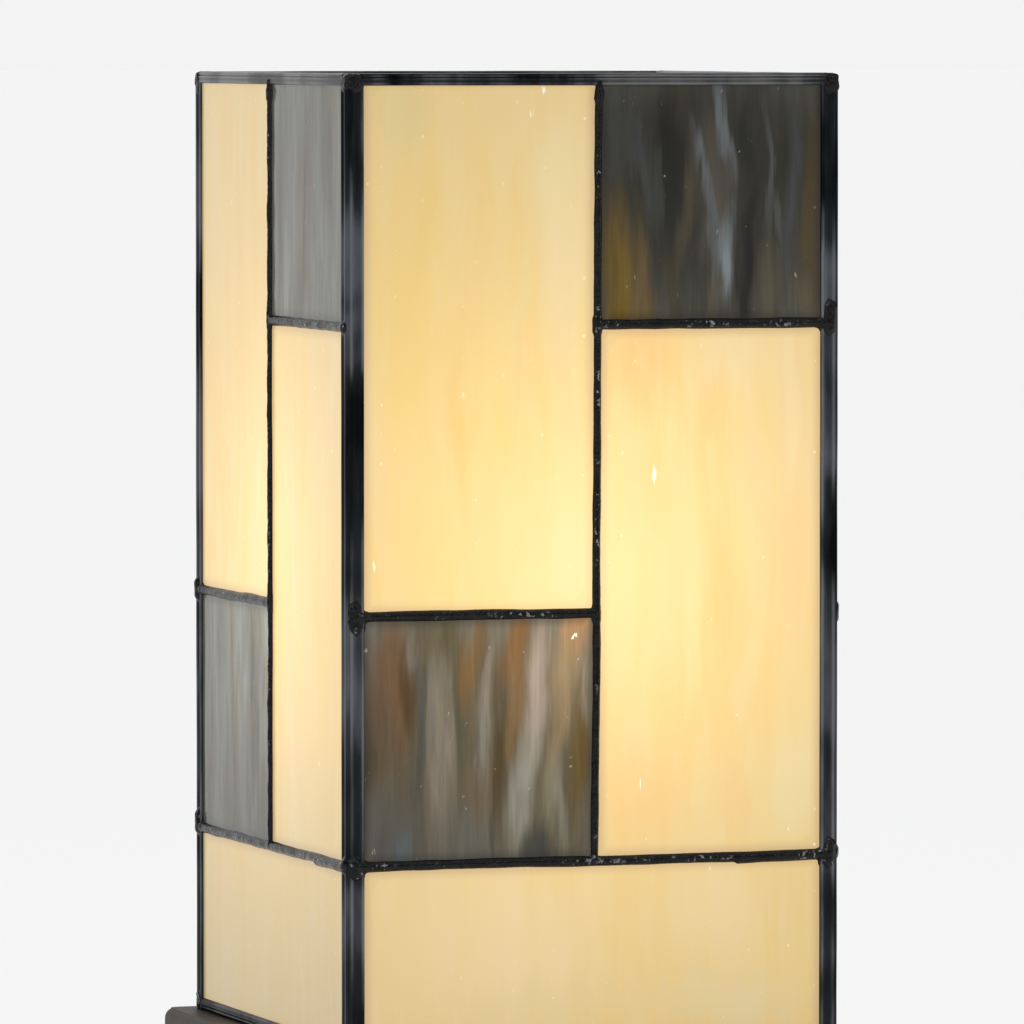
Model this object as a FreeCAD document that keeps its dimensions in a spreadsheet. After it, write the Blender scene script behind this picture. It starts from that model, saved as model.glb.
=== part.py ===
"""Square stained glass column lamp, as a parametric FreeCAD document.

The frame is in millimetres with +Z up. The origin is the middle of the footprint at table level, and
the front of the lamp faces -Y. The lamp is a four-sided glass shade with an open top, which stands round
a raised plinth on a moulded base and lifts straight off it. A small screw-in bulb stands in a lampholder
on a threaded tube in the middle of the base, inside the shade.
"""

import FreeCAD, Part
import math
import os
import re

import Sketcher

# Every driving dimension, in millimetres. Each one becomes a cell of the spreadsheet, under its own name.
SIZES = {
    # Glass shade: overall box, panel build-up, cames and solder seams.
    "shade_width": 125.0,
    "shade_height": 235.0,
    "came_skin": 0.7,
    "glass_thickness": 3.0,
    "corner_core": 4.0,
    "corner_leg": 4.6,
    "corner_round": 0.9,
    "rail_height": 3.0,
    "rail_round": 0.6,
    "seam_gap": 0.8,
    "upright_seam_width": 1.9,
    "level_seam_width": 2.4,
    # How far each level seam lies below the rim of the shade.
    "upper_seam_drop": 60.5,
    "middle_seam_drop": 129.5,
    "lower_seam_drop": 189.0,
    # Base: moulded body, its hollow and its raised plinth.
    "foot_height": 2.0,
    "base_height": 30.0,
    "base_width": 150.0,
    "base_corner": 9.5,
    "base_core_width": 136.0,
    "base_core_corner": 2.5,
    "moulding_depth": 8.2,
    "lower_step_height": 12.0,
    "lower_step_round": 3.0,
    "cove_height": 6.0,
    "cove_depth": 6.5,
    "cove_lip": 0.9,
    "upper_step_depth": 5.5,
    "upper_step_round": 2.5,
    "base_edge_bevel": 0.8,
    "plinth_width": 114.6,
    "plinth_corner": 3.0,
    "plinth_height": 6.0,
    "plinth_bevel": 1.2,
    "hollow_radius": 55.0,
    "hollow_height": 20.0,
    "rebate_width": 128.0,
    "rebate_corner": 5.0,
    # Cover plate under the base, with its screws and feet.
    "plate_thickness": 2.0,
    "plate_gap": 0.4,
    "screw_place": 44.0,
    "screw_hole_radius": 1.7,
    "pilot_radius": 1.55,
    "pilot_depth": 12.0,
    "screw_radius": 1.5,
    "screw_length": 12.0,
    "screw_head_radius": 3.0,
    "screw_head_height": 1.4,
    "screw_slot_length": 3.6,
    "screw_slot_width": 0.9,
    "screw_slot_depth": 0.7,
    "foot_radius": 5.5,
    "foot_round": 0.5,
    "foot_place": 55.5,
    # Cord bushing in the back of the lower step.
    "cord_level": 8.5,
    "bushing_bore": 3.25,
    "bushing_radius": 3.95,
    "bushing_length": 19.0,
    "bushing_flange_radius": 5.2,
    "bushing_flange": 1.5,
    "bushing_round": 0.6,
    "cord_hole_radius": 4.0,
    "cord_hole_depth": 25.0,
    "spotface_radius": 5.4,
    "spotface_depth": 1.6,
    # Threaded tube, spacer sleeve, washers and nut that hold the lampholder on the base.
    "tube_radius": 4.95,
    "tube_bore": 3.9,
    "tube_below": 10.0,
    "tube_above": 8.0,
    "tube_hole_radius": 5.25,
    "washer_radius": 17.0,
    "washer_height": 2.0,
    "washer_round": 0.8,
    "sleeve_radius": 7.0,
    "sleeve_bore": 5.1,
    "sleeve_height": 26.0,
    "lock_washer_radius": 11.0,
    "lock_washer_height": 1.5,
    "nut_across_flats": 14.0,
    "nut_height": 4.0,
    # Lampholder, measured from its foot on the sleeve.
    "holder_radius": 14.0,
    "holder_wall": 1.5,
    "holder_bore": 5.05,
    "neck_radius": 8.5,
    "neck_height": 7.0,
    "neck_roof": 8.5,
    "cap_shoulder": 13.0,
    "cap_height": 20.0,
    "skirt_height": 33.0,
    "skirt_taper": 0.8,
    "skirt_lip_radius": 9.0,
    "skirt_lip": 1.2,
    "insert_radius": 12.2,
    "insert_start": 18.0,
    "insert_height": 11.0,
    "contact_hole": 1.6,
    "shell_bore": 7.1,
    "shell_wall": 0.5,
    "shell_height": 18.5,
    "shell_mouth": 3.5,
    "contact_radius": 2.6,
    "contact_stem": 1.5,
    "contact_rise": 1.4,
    "terminal_length": 5.0,
    "terminal_width": 4.0,
    "terminal_place": 6.5,
    "grub_radius": 1.45,
    "grub_hole_radius": 1.5,
    "grub_length": 3.6,
    "grub_level": 4.0,
    # Bulb: tip contact, insulator, screw cap and glass.
    "bulb_clearance": 0.1,
    "tip_radius": 2.4,
    "tip_height": 3.0,
    "tip_crown": 1.1,
    "insulator_start": 1.4,
    "insulator_height": 3.6,
    "insulator_slope": 2.2,
    "insulator_radius": 4.0,
    "insulator_gap": 0.1,
    "screw_cap_start": 3.7,
    "thread_pitch": 2.82,
    "thread_crest": 6.9,
    "thread_root": 6.35,
    "screw_cap_bore": 5.8,
    "collar_start": 17.5,
    "collar_flare": 2.5,
    "collar_height": 5.0,
    "collar_radius": 8.4,
    "glue_gap": 0.05,
    "glass_start": 22.9,
    "bulb_neck_radius": 7.95,
    "bulb_belly_radius": 17.5,
    "bulb_neck_height": 2.6,
    "bulb_belly_rise": 31.4,
    "bulb_shoulder_radius": 5.0,
    "bulb_shoulder_rise": 32.0,
    "bulb_wall": 0.8,
    "stem_gap": 0.05,
    "stem_flare": 0.6,
    "stem_waist": 2.4,
    "stem_height": 21.0,
    "wire_gap": 0.2,
    "wire_radius": 0.3,
    "wire_spread": 7.0,
    "wire_start": 1.0,
    "wire_height": 15.0,
    "filament_radius": 0.35,
    "filament_gap": 0.6,
}

# Sizes and levels that follow from the ones above, as formulas. A formula may use another formula's name.
FORMULAS = {
    "half_shade": "shade_width / 2",
    "panel_depth": "came_skin + glass_thickness",
    "half_gap": "seam_gap / 2",
    "shade_foot": "foot_height + base_height",
    "rim": "shade_foot + shade_height",
    "upper_seam": "rim - upper_seam_drop",
    "middle_seam": "rim - middle_seam_drop",
    "lower_seam": "rim - lower_seam_drop",
    "half_base": "base_width / 2",
    "half_plate": "rebate_width / 2 - plate_gap",
    "plate_corner": "rebate_corner - plate_gap",
    "hollow_roof": "foot_height + plate_thickness + hollow_height",
    "plinth_top": "shade_foot + plinth_height",
    "holder_foot": "plinth_top + washer_height + sleeve_height",
    "cap_top": "holder_foot + cap_height",
    "skirt_top": "cap_top + skirt_height",
    "insert_top": "holder_foot + insert_start + insert_height",
    "bulb_foot": "insert_top + contact_rise + bulb_clearance",
    "glass_foot": "bulb_foot + glass_start",
    "neck_top": "glass_foot + bulb_neck_height",
    "belly_level": "neck_top + bulb_belly_rise",
    "shoulder_level": "belly_level + bulb_shoulder_rise",
    "neck_swell": "bulb_belly_radius - bulb_neck_radius",
    "tip_swell": "bulb_belly_radius - bulb_shoulder_radius",
    "lower_curve": "(neck_swell^2 + bulb_belly_rise^2) / (2 * neck_swell)",
    "upper_curve": "(tip_swell^2 + bulb_shoulder_rise^2) / (2 * tip_swell)",
    "tip_share": "bulb_shoulder_radius / (upper_curve - tip_swell)",
    "bulb_top": "shoulder_level + tip_share * (upper_curve - bulb_shoulder_rise)",
    "stem_top": "glass_foot + stem_height",
    "wire_foot": "stem_top + wire_gap",
    "filament_level": "wire_foot + wire_height + filament_gap",
}

# The four faces of the shade, each a quarter turn on from the one before it.
SIDES = {"front": 0, "right": 90, "back": 180, "left": 270}
CORNERS = {"front_left": 0, "front_right": 90, "back_right": 180, "back_left": 270}

CCW, CW = 1, -1

doc = FreeCAD.newDocument("glass_column_lamp")
sheet = doc.addObject("Spreadsheet::Sheet", "size")
for row, (name, value) in enumerate(SIZES.items(), start=1):
    sheet.set(f"A{row}", name)
    sheet.set(f"B{row}", str(value))
    sheet.setAlias(f"B{row}", name)
doc.recompute()

pieces = []


# ---------------------------------------------------------------- helpers


def bind(formula):
    """The formula with each size's name made into a reference to its cell."""

    def swap(match):
        word = match.group()
        if word in FORMULAS:
            return f"({bind(FORMULAS[word])})"
        return f"size.{word}" if word in SIZES else word

    return re.sub(r"[a-z_]+", swap, formula)


def number(formula):
    """The formula's value in millimetres."""
    return float(sheet.evalExpression(bind(formula)))


def new_body(label, turn=0):
    """A PartDesign body for one sub-part, turned about the lamp's upright axis by that many degrees."""
    body = doc.addObject("PartDesign::Body", label)
    body.Label = label
    body.Placement = FreeCAD.Placement(FreeCAD.Vector(), FreeCAD.Rotation(FreeCAD.Vector(0, 0, 1), turn))
    pieces.append(body)
    return body


def new_sketch(body, plane, offset="0"):
    """An empty sketch on one of the body's own origin planes, moved along that plane's normal."""
    sketch = body.newObject("Sketcher::SketchObject", f"{body.Label}_sketch")
    base = [f for f in body.Origin.OriginFeatures if f.Role == plane][0]
    sketch.AttachmentSupport = (base, [""])
    sketch.MapMode = "FlatFace"
    sketch.setExpression("AttachmentOffset.Base.z", bind(offset))
    return sketch


def constrain(sketch, kind, formula, *where):
    """Adds a dimension that follows the sheet."""
    index = sketch.addConstraint(Sketcher.Constraint(kind, *where, number(formula)))
    sketch.setExpression(f"Constraints[{index}]", bind(formula))


def arc_between(start, end, radius, way):
    """The arc of that radius that turns the given way from start to end, by its shorter route."""
    chord = end - start
    rise = math.sqrt(max(radius**2 - (chord.Length / 2) ** 2, 0.0))
    side = FreeCAD.Vector(-chord.y, chord.x, 0).normalize() * (rise * way)
    centre = (start + end) / 2 + side
    first, last = (start, end) if way == CCW else (end, start)
    angles = [math.atan2(p.y - centre.y, p.x - centre.x) for p in (first, last)]
    circle = Part.Circle(centre, FreeCAD.Vector(0, 0, 1), radius)
    return Part.ArcOfCircle(circle, angles[0], angles[1])


def draw(sketch, corners):
    """A closed outline through corners, each (x, y), or (x, y, radius, way) where an arc leaves it."""
    places = [FreeCAD.Vector(number(c[0]), number(c[1]), 0) for c in corners]
    first = sketch.GeometryCount
    begins = []
    for index, corner in enumerate(corners):
        start, end = places[index], places[(index + 1) % len(corners)]
        if len(corner) == 2:
            sketch.addGeometry(Part.LineSegment(start, end))
            begins.append((1, 2))
        else:
            sketch.addGeometry(arc_between(start, end, number(corner[2]), corner[3]))
            begins.append((1, 2) if corner[3] == CCW else (2, 1))
    for index, corner in enumerate(corners):
        following = (index + 1) % len(corners)
        edge, begin, end = first + index, *begins[index]
        joined = Sketcher.Constraint("Coincident", edge, end, first + following, begins[following][0])
        sketch.addConstraint(joined)
        constrain(sketch, "DistanceX", corner[0], -1, 1, edge, begin)
        constrain(sketch, "DistanceY", corner[1], -1, 1, edge, begin)
        if len(corner) > 2:
            constrain(sketch, "Radius", corner[2], edge)


def draw_circles(sketch, radius, places=(("0", "0"),)):
    """A circle of that radius at each place."""
    for x, y in places:
        centre = FreeCAD.Vector(number(x), number(y), 0)
        edge = sketch.addGeometry(Part.Circle(centre, FreeCAD.Vector(0, 0, 1), number(radius)))
        constrain(sketch, "DistanceX", x, -1, 1, edge, 3)
        constrain(sketch, "DistanceY", y, -1, 1, edge, 3)
        constrain(sketch, "Radius", radius, edge)


def rectangle(left, right, low, high):
    return [(left, low), (right, low), (right, high), (left, high)]


def rounded_square(half, corner):
    """A square about the origin with round corners, from the middle of its +X side."""
    flat = f"({half} - ({corner}))"
    corners = [(half, "0")]
    for x, y, next_x, next_y in (
        (half, flat, flat, half),
        (f"-({flat})", half, f"-({half})", flat),
        (f"-({half})", f"-({flat})", f"-({flat})", f"-({half})"),
        (flat, f"-({half})", half, f"-({flat})"),
    ):
        corners += [(x, y, corner, CCW), (next_x, next_y)]
    return corners


def pad(body, sketch, length):
    feature = body.newObject("PartDesign::Pad", f"{body.Label}_pad")
    feature.Profile = sketch
    feature.setExpression("Length", bind(length))
    return feature


def pocket(body, sketch, depth):
    """Cuts along the sketch's normal, and checks that something was cut."""
    doc.recompute()
    before = body.Shape.Volume
    feature = body.newObject("PartDesign::Pocket", f"{body.Label}_pocket")
    feature.Profile = sketch
    feature.Reversed = True
    feature.setExpression("Length", bind(depth))
    doc.recompute()
    if body.Shape.Volume >= before:
        raise RuntimeError(f"a pocket in {body.Label} cuts nothing")
    return feature


def turned(label, corners):
    """A piece turned on a lathe about the lamp's axis, from its outline of radius and height."""
    body = new_body(label)
    sketch = new_sketch(body, "XZ_Plane")
    draw(sketch, corners)
    feature = body.newObject("PartDesign::Revolution", f"{label}_turn")
    feature.Profile = sketch
    feature.ReferenceAxis = (sketch, ["V_Axis"])
    feature.Angle = 360
    return body


def ring(label, outer, inner, foot, height):
    """A plain round ring or tube that stands on the given level."""
    body = new_body(label)
    sketch = new_sketch(body, "XY_Plane", foot)
    draw_circles(sketch, outer)
    draw_circles(sketch, inner)
    pad(body, sketch, height)
    return body


def edges_at(shape, test):
    """Names of the shape's edges whose middle passes the test."""
    return [f"Edge{i}" for i, edge in enumerate(shape.Edges, start=1) if test(edge.CenterOfMass, edge)]


def round_edges(body, kind, size_name, formula, test):
    """A Fillet or Chamfer on the edges that pass the test."""
    doc.recompute()
    tip = body.Tip
    feature = body.newObject(f"PartDesign::{kind}", f"{body.Label}_{kind.lower()}")
    feature.Base = (tip, edges_at(tip.Shape, test))
    feature.setExpression(size_name, bind(formula))
    return feature


def group(label, members):
    """Like pieces that share one node, each a solid of its own."""
    compound = doc.addObject("Part::Compound", label)
    compound.Label = label
    compound.Links = members
    pieces.append(compound)
    return compound


def primitive(kind, name, place, turn=None, **sizes):
    """A Part primitive with its sizes and its place bound to the sheet."""
    solid = doc.addObject(f"Part::{kind}", name)
    if turn is not None:
        solid.Placement = FreeCAD.Placement(FreeCAD.Vector(), turn)
    for size_name, formula in sizes.items():
        solid.setExpression(size_name, bind(formula))
    for letter, formula in zip("xyz", place):
        solid.setExpression(f"Placement.Base.{letter}", bind(formula))
    return solid


# ---------------------------------------------------------------- glass shade


def glass_pane(label, turn, left, right, low, high):
    """One flat sheet of cut glass in a face of the shade. Its outer side lies one came skin deep."""
    body = new_body(label, turn)
    sketch = new_sketch(body, "XZ_Plane", "half_shade - panel_depth")
    draw(sketch, rectangle(left, right, low, high))
    pad(body, sketch, "glass_thickness")


def seam_section(width, level=None):
    """The H section of a soldered foil seam: a web between two panes and a crowned bead on each side.

    It is drawn as seen from above for the upright seam, or from the side about the height level."""
    out, skin, inner = "-half_shade", "came_skin", "panel_depth"
    crown = f"(({width} / 2)^2 + came_skin^2) / (2 * came_skin)"
    half = f"{width} / 2"
    steps = [
        (f"-{half}", skin, crown),
        (half, skin),
        ("half_gap", skin),
        ("half_gap", inner),
        (half, inner, crown),
        (f"-{half}", inner),
        ("-half_gap", inner),
        ("-half_gap", skin),
    ]
    corners = []
    for across, depth, *arc in steps:
        deep = f"{out} + {depth}"
        if level is None:
            corners.append((across, deep, *arc, *([CCW] if arc else [])))
        else:
            corners.append((deep, f"{level} + {across}", *arc, *([CW] if arc else [])))
    return corners


def solder_seams(side, turn):
    """The soldered copper foil between the panes of one face: one upright seam and three level ones."""
    body = new_body(f"{side}_solder_seams", turn)
    upright = new_sketch(body, "XY_Plane", "lower_seam")
    draw(upright, seam_section("upright_seam_width"))
    pad(body, upright, "lower_seam_drop - rail_height")
    run = "half_shade - corner_leg"
    for level, start, length in (
        ("lower_seam", f"-({run})", f"2 * ({run})"),
        ("middle_seam", f"-({run})", run),
        ("upper_seam", "0", run),
    ):
        sketch = new_sketch(body, "YZ_Plane", start)
        draw(sketch, seam_section("level_seam_width", level))
        pad(body, sketch, length)


def corner_came(label, turn):
    """A full-height metal came in one corner. Each of its two channels grips the edge of a face's glass."""
    steps = [
        ("corner_round", "0"),
        ("corner_leg", "0"),
        ("corner_leg", "came_skin"),
        ("corner_core", "came_skin"),
        ("corner_core", "panel_depth"),
        ("corner_leg", "panel_depth"),
        ("corner_leg", "corner_leg"),
        ("panel_depth", "corner_leg"),
        ("panel_depth", "corner_core"),
        ("came_skin", "corner_core"),
        ("came_skin", "corner_leg"),
        ("0", "corner_leg"),
        ("0", "corner_round"),
    ]
    corners = [(f"-half_shade + {x}", f"-half_shade + {y}") for x, y in steps]
    corners[-1] = (*corners[-1], "corner_round", CCW)
    body = new_body(label, turn)
    sketch = new_sketch(body, "XY_Plane", "shade_foot")
    draw(sketch, corners)
    pad(body, sketch, "shade_height")


def edge_rail(label, turn, outer_level, way):
    """A U-shaped came over the top or bottom edge of one face, between two corner cames.

    outer_level is the closed side's height, and way is '-' if the channel opens downwards."""
    mouth = f"{outer_level} {way} rail_height"
    web = f"{outer_level} {way} came_skin"
    bend = f"{outer_level} {way} rail_round"
    face, back = "-half_shade", "-half_shade + panel_depth + came_skin"
    corners = [
        (face, mouth),
        ("-half_shade + came_skin", mouth),
        ("-half_shade + came_skin", web),
        ("-half_shade + panel_depth", web),
        ("-half_shade + panel_depth", mouth),
        (back, mouth),
        (back, bend, "rail_round", CCW if way == "-" else CW),
        (f"{back} - rail_round", outer_level),
        (f"{face} + rail_round", outer_level, "rail_round", CCW if way == "-" else CW),
        (face, bend),
    ]
    body = new_body(label, turn)
    sketch = new_sketch(body, "YZ_Plane", "-(half_shade - corner_leg)")
    draw(sketch, corners)
    pad(body, sketch, "2 * (half_shade - corner_leg)")


left_edge, right_edge = "-(half_shade - corner_core)", "half_shade - corner_core"
glass_top, glass_foot = "rim - came_skin", "shade_foot + came_skin"
panes = {
    "upper_cream_pane": (left_edge, "-half_gap", "middle_seam + half_gap", glass_top),
    "lower_dark_pane": (left_edge, "-half_gap", "lower_seam + half_gap", "middle_seam - half_gap"),
    "upper_dark_pane": ("half_gap", right_edge, "upper_seam + half_gap", glass_top),
    "lower_cream_pane": ("half_gap", right_edge, "lower_seam + half_gap", "upper_seam - half_gap"),
    "bottom_cream_pane": (left_edge, right_edge, glass_foot, "lower_seam - half_gap"),
}
for side, turn in SIDES.items():
    for pane, edges in panes.items():
        glass_pane(f"{side}_{pane}", turn, *edges)
    solder_seams(side, turn)
    edge_rail(f"{side}_top_rail", turn, "rim", "-")
    edge_rail(f"{side}_bottom_rail", turn, "shade_foot", "+")
for corner, turn in CORNERS.items():
    corner_came(f"{corner}_corner_came", turn)


# ---------------------------------------------------------------- base


def four_places(distance):
    """The four corners of a square, each (x, y)."""
    away = f"-{distance}"
    return [(distance, distance), (away, distance), (away, away), (distance, away)]


def moulding_section():
    """The base's outer moulding, as cut across the middle of its right side: a step, a cove and a step."""
    foot, top = "foot_height", "shade_foot"
    step = f"{foot} + lower_step_height"
    cove_top = f"{step} + cove_height"
    inside = "half_base - moulding_depth"
    cove_foot = "half_base - lower_step_round - cove_lip"
    cove_back = "half_base - cove_depth"
    # The cove is an arc that leaves the lower step and ends upright under the upper one.
    reach = f"(({cove_foot}) - ({cove_back}))"
    cove_arc = f"({reach}^2 + cove_height^2) / (2 * {reach})"
    face = "half_base - upper_step_depth"
    return [
        (inside, foot),
        ("half_base - base_edge_bevel", foot),
        ("half_base", f"{foot} + base_edge_bevel"),
        ("half_base", f"{step} - lower_step_round", "lower_step_round", CCW),
        ("half_base - lower_step_round", step),
        (cove_foot, step, cove_arc, CW),
        (cove_back, cove_top),
        (face, cove_top),
        (face, f"{top} - upper_step_round", "upper_step_round", CCW),
        (f"{face} - upper_step_round", top),
        (inside, top),
    ]


def base_moulding():
    """The moulded base: a stepped block, hollow below, with the plinth that the shade stands round."""
    body = new_body("base_moulding")
    core = new_sketch(body, "XY_Plane", "foot_height")
    draw(core, rounded_square("base_core_width / 2", "base_core_corner"))
    pad(body, core, "base_height")

    path = new_sketch(body, "XY_Plane", "foot_height")
    draw(path, rounded_square("half_base", "base_corner"))
    section = new_sketch(body, "XZ_Plane")
    draw(section, moulding_section())
    moulding = body.newObject("PartDesign::AdditivePipe", "base_outer_moulding")
    moulding.Profile = section
    moulding.Spine = path
    doc.recompute()

    plinth = new_sketch(body, "XY_Plane", "shade_foot")
    draw(plinth, rounded_square("plinth_width / 2", "plinth_corner"))
    pad(body, plinth, "plinth_height")
    top = number("plinth_top")
    round_edges(body, "Chamfer", "Size", "plinth_bevel", lambda c, e: abs(c.z - top) < 0.01)

    rebate = new_sketch(body, "XY_Plane", "foot_height")
    draw(rebate, rounded_square("rebate_width / 2", "rebate_corner"))
    pocket(body, rebate, "plate_thickness")
    for radius, depth, places in (
        ("hollow_radius", "plate_thickness + hollow_height", [("0", "0")]),
        ("tube_hole_radius", "plinth_top - foot_height", [("0", "0")]),
        ("pilot_radius", "plate_thickness + pilot_depth", four_places("screw_place")),
    ):
        sketch = new_sketch(body, "XY_Plane", "foot_height")
        draw_circles(sketch, radius, places)
        pocket(body, sketch, depth)
    for radius, depth in (("cord_hole_radius", "cord_hole_depth"), ("spotface_radius", "spotface_depth")):
        sketch = new_sketch(body, "XZ_Plane", "-half_base")
        draw_circles(sketch, radius, [("0", "cord_level")])
        pocket(body, sketch, depth)


def cover_plate():
    """The flat plate that closes the base from below. It lies in the base's rebate."""
    body = new_body("base_cover_plate")
    sketch = new_sketch(body, "XY_Plane", "foot_height")
    draw(sketch, rounded_square("half_plate", "plate_corner"))
    draw_circles(sketch, "screw_hole_radius", four_places("screw_place"))
    pad(body, sketch, "plate_thickness")


def cover_screws():
    """Four pan-head screws that hold the cover plate, each with a cross slot."""
    screws = []
    under = "foot_height - screw_head_height"
    for index, (x, y) in enumerate(four_places("screw_place")):
        parts = [
            primitive(
                "Cylinder", f"screw_head_{index}", (x, y, under),
                Radius="screw_head_radius", Height="screw_head_height",
            ),
            primitive(
                "Cylinder", f"screw_shank_{index}", (x, y, under),
                Radius="screw_radius", Height="screw_head_height + screw_length",
            ),
        ]
        whole = doc.addObject("Part::MultiFuse", f"screw_blank_{index}")
        whole.Shapes = parts
        slots = []
        arm, width = "screw_slot_length", "screw_slot_width"
        for along, across in ((arm, width), (width, arm)):
            slots.append(
                primitive(
                    "Box", f"screw_slot_{index}", (f"{x} - {along} / 2", f"{y} - {across} / 2", under),
                    Length=along, Width=across, Height="screw_slot_depth",
                )
            )
        cross = doc.addObject("Part::MultiFuse", f"screw_cross_{index}")
        cross.Shapes = slots
        screw = doc.addObject("Part::Cut", f"screw_{index}")
        screw.Base, screw.Tool = whole, cross
        screws.append(screw)
    group("cover_screws", screws)


def rubber_feet():
    """Four stick-on feet under the corners of the cover plate."""
    feet = []
    for index, (x, y) in enumerate(four_places("foot_place")):
        disc = primitive(
            "Cylinder", f"foot_disc_{index}", (x, y, "0"), Radius="foot_radius", Height="foot_height"
        )
        doc.recompute()
        foot = doc.addObject("Part::Fillet", f"foot_{index}")
        foot.Base = disc
        low = [i for i, e in enumerate(disc.Shape.Edges, 1) if e.Curve.TypeId == "Part::GeomCircle"
               and e.CenterOfMass.z < number("foot_height") / 2]
        foot.Edges = [(i, number("foot_round"), number("foot_round")) for i in low]
        feet.append(foot)
    group("rubber_feet", feet)


def cord_bushing():
    """The bushing that lines the cord's hole in the back of the base, with a flange in a shallow recess."""
    body = new_body("cord_bushing")
    flange_start = "half_base - spotface_depth + bushing_flange"
    for radius, length in (("bushing_flange_radius", "bushing_flange"), ("bushing_radius", "bushing_length")):
        sketch = new_sketch(body, "XZ_Plane", f"-({flange_start})")
        draw_circles(sketch, radius, [("0", "cord_level")])
        draw_circles(sketch, "bushing_bore", [("0", "cord_level")])
        pad(body, sketch, length)
    outside, edge_radius = number(flange_start), number("bushing_flange_radius")

    def on_rim(centre, edge):
        return abs(centre.y - outside) < 0.01 and abs(edge.Curve.Radius - edge_radius) < 0.01

    round_edges(body, "Fillet", "Radius", "bushing_round", on_rim)


base_moulding()
cover_plate()
cover_screws()
rubber_feet()
cord_bushing()


# ---------------------------------------------------------------- tube and lampholder


def lampholder_cap():
    """The lower half of the lampholder's housing, screwed on the tube and locked by a grub screw."""
    foot = "holder_foot"
    inner = "holder_radius - holder_wall"
    body = turned(
        "lampholder_cap",
        [
            ("holder_bore", foot),
            ("neck_radius", foot),
            ("neck_radius", f"{foot} + neck_height"),
            ("holder_radius", f"{foot} + cap_shoulder"),
            ("holder_radius", "cap_top"),
            (inner, "cap_top"),
            (inner, f"{foot} + cap_shoulder + holder_wall / 2"),
            ("neck_radius - holder_wall / 2", f"{foot} + neck_roof"),
            ("holder_bore", f"{foot} + neck_roof"),
        ],
    )
    sketch = new_sketch(body, "YZ_Plane")
    draw_circles(sketch, "grub_hole_radius", [("0", f"{foot} + grub_level")])
    pocket(body, sketch, "holder_radius")


def lampholder_skirt():
    """The upper half of the housing, a slightly tapered sleeve with a lip round its mouth."""
    mouth = "holder_radius - skirt_taper"
    turned(
        "lampholder_skirt",
        [
            ("holder_radius - holder_wall", "cap_top"),
            ("holder_radius", "cap_top"),
            (mouth, "skirt_top - skirt_lip"),
            (f"{mouth} - skirt_lip", "skirt_top"),
            ("skirt_lip_radius", "skirt_top"),
            ("skirt_lip_radius", "skirt_top - skirt_lip"),
            (f"{mouth} - holder_wall", "skirt_top - skirt_lip"),
        ],
    )


def lampholder_inside():
    """The insulating insert, the screw shell that grips the bulb, the sprung contact and the terminals."""
    start = "holder_foot + insert_start"
    turned(
        "lampholder_insert",
        [
            ("contact_hole", start),
            ("insert_radius", start),
            ("insert_radius", "insert_top"),
            ("contact_hole", "insert_top"),
        ],
    )
    turned(
        "lampholder_screw_shell",
        [
            ("shell_mouth", "insert_top"),
            ("shell_bore + shell_wall", "insert_top"),
            ("shell_bore + shell_wall", "insert_top + shell_height"),
            ("shell_bore", "insert_top + shell_height"),
            ("shell_bore", "insert_top + shell_wall"),
            ("shell_mouth", "insert_top + shell_wall"),
        ],
    )
    turned(
        "lampholder_centre_contact",
        [
            ("0", start),
            ("contact_stem", start),
            ("contact_stem", "insert_top + contact_rise / 2"),
            ("contact_radius", "insert_top + contact_rise / 2"),
            ("contact_radius", "insert_top + contact_rise"),
            ("0", "insert_top + contact_rise"),
        ],
    )
    blocks = []
    for name, way in (("left", "-"), ("right", "")):
        place = f"{way}terminal_place - terminal_width / 2"
        corner = (place, "-terminal_length / 2", f"{start} - terminal_length")
        block = primitive(
            "Box", f"terminal_{name}", corner,
            Length="terminal_width", Width="terminal_length", Height="terminal_length",
        )
        blocks.append(block)
    group("lampholder_terminals", blocks)


def tube_hardware():
    """The threaded tube through the base, with what clamps it above and below the base's roof."""
    ring("threaded_tube", "tube_radius", "tube_bore", "hollow_roof - tube_below",
         "holder_foot - hollow_roof + tube_below + tube_above")
    washer = ring("seat_washer", "washer_radius", "tube_hole_radius", "plinth_top", "washer_height")
    top, rim_radius = number("plinth_top + washer_height"), number("washer_radius")
    round_edges(washer, "Fillet", "Radius", "washer_round",
                lambda c, e: abs(c.z - top) < 0.01 and abs(e.Curve.Radius - rim_radius) < 0.01)
    ring("spacer_sleeve", "sleeve_radius", "sleeve_bore", "plinth_top + washer_height", "sleeve_height")
    ring("lock_washer", "lock_washer_radius", "tube_hole_radius",
         "hollow_roof - lock_washer_height", "lock_washer_height")

    nut = new_body("lock_nut")
    foot = "hollow_roof - lock_washer_height - nut_height"
    sketch = new_sketch(nut, "XY_Plane", foot)
    reach = "nut_across_flats / sqrt(3)"
    corners = [(f"{reach} * cos({angle} deg)", f"{reach} * sin({angle} deg)") for angle in range(0, 360, 60)]
    draw(sketch, corners)
    draw_circles(sketch, "sleeve_bore")
    pad(nut, sketch, "nut_height")

    grub = primitive(
        "Cylinder", "lampholder_grub_screw", ("holder_bore", "0", "holder_foot + grub_level"),
        turn=FreeCAD.Rotation(FreeCAD.Vector(0, 1, 0), 90), Radius="grub_radius", Height="grub_length",
    )
    pieces.append(grub)


tube_hardware()
lampholder_cap()
lampholder_skirt()
lampholder_inside()


# ---------------------------------------------------------------- bulb


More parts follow.
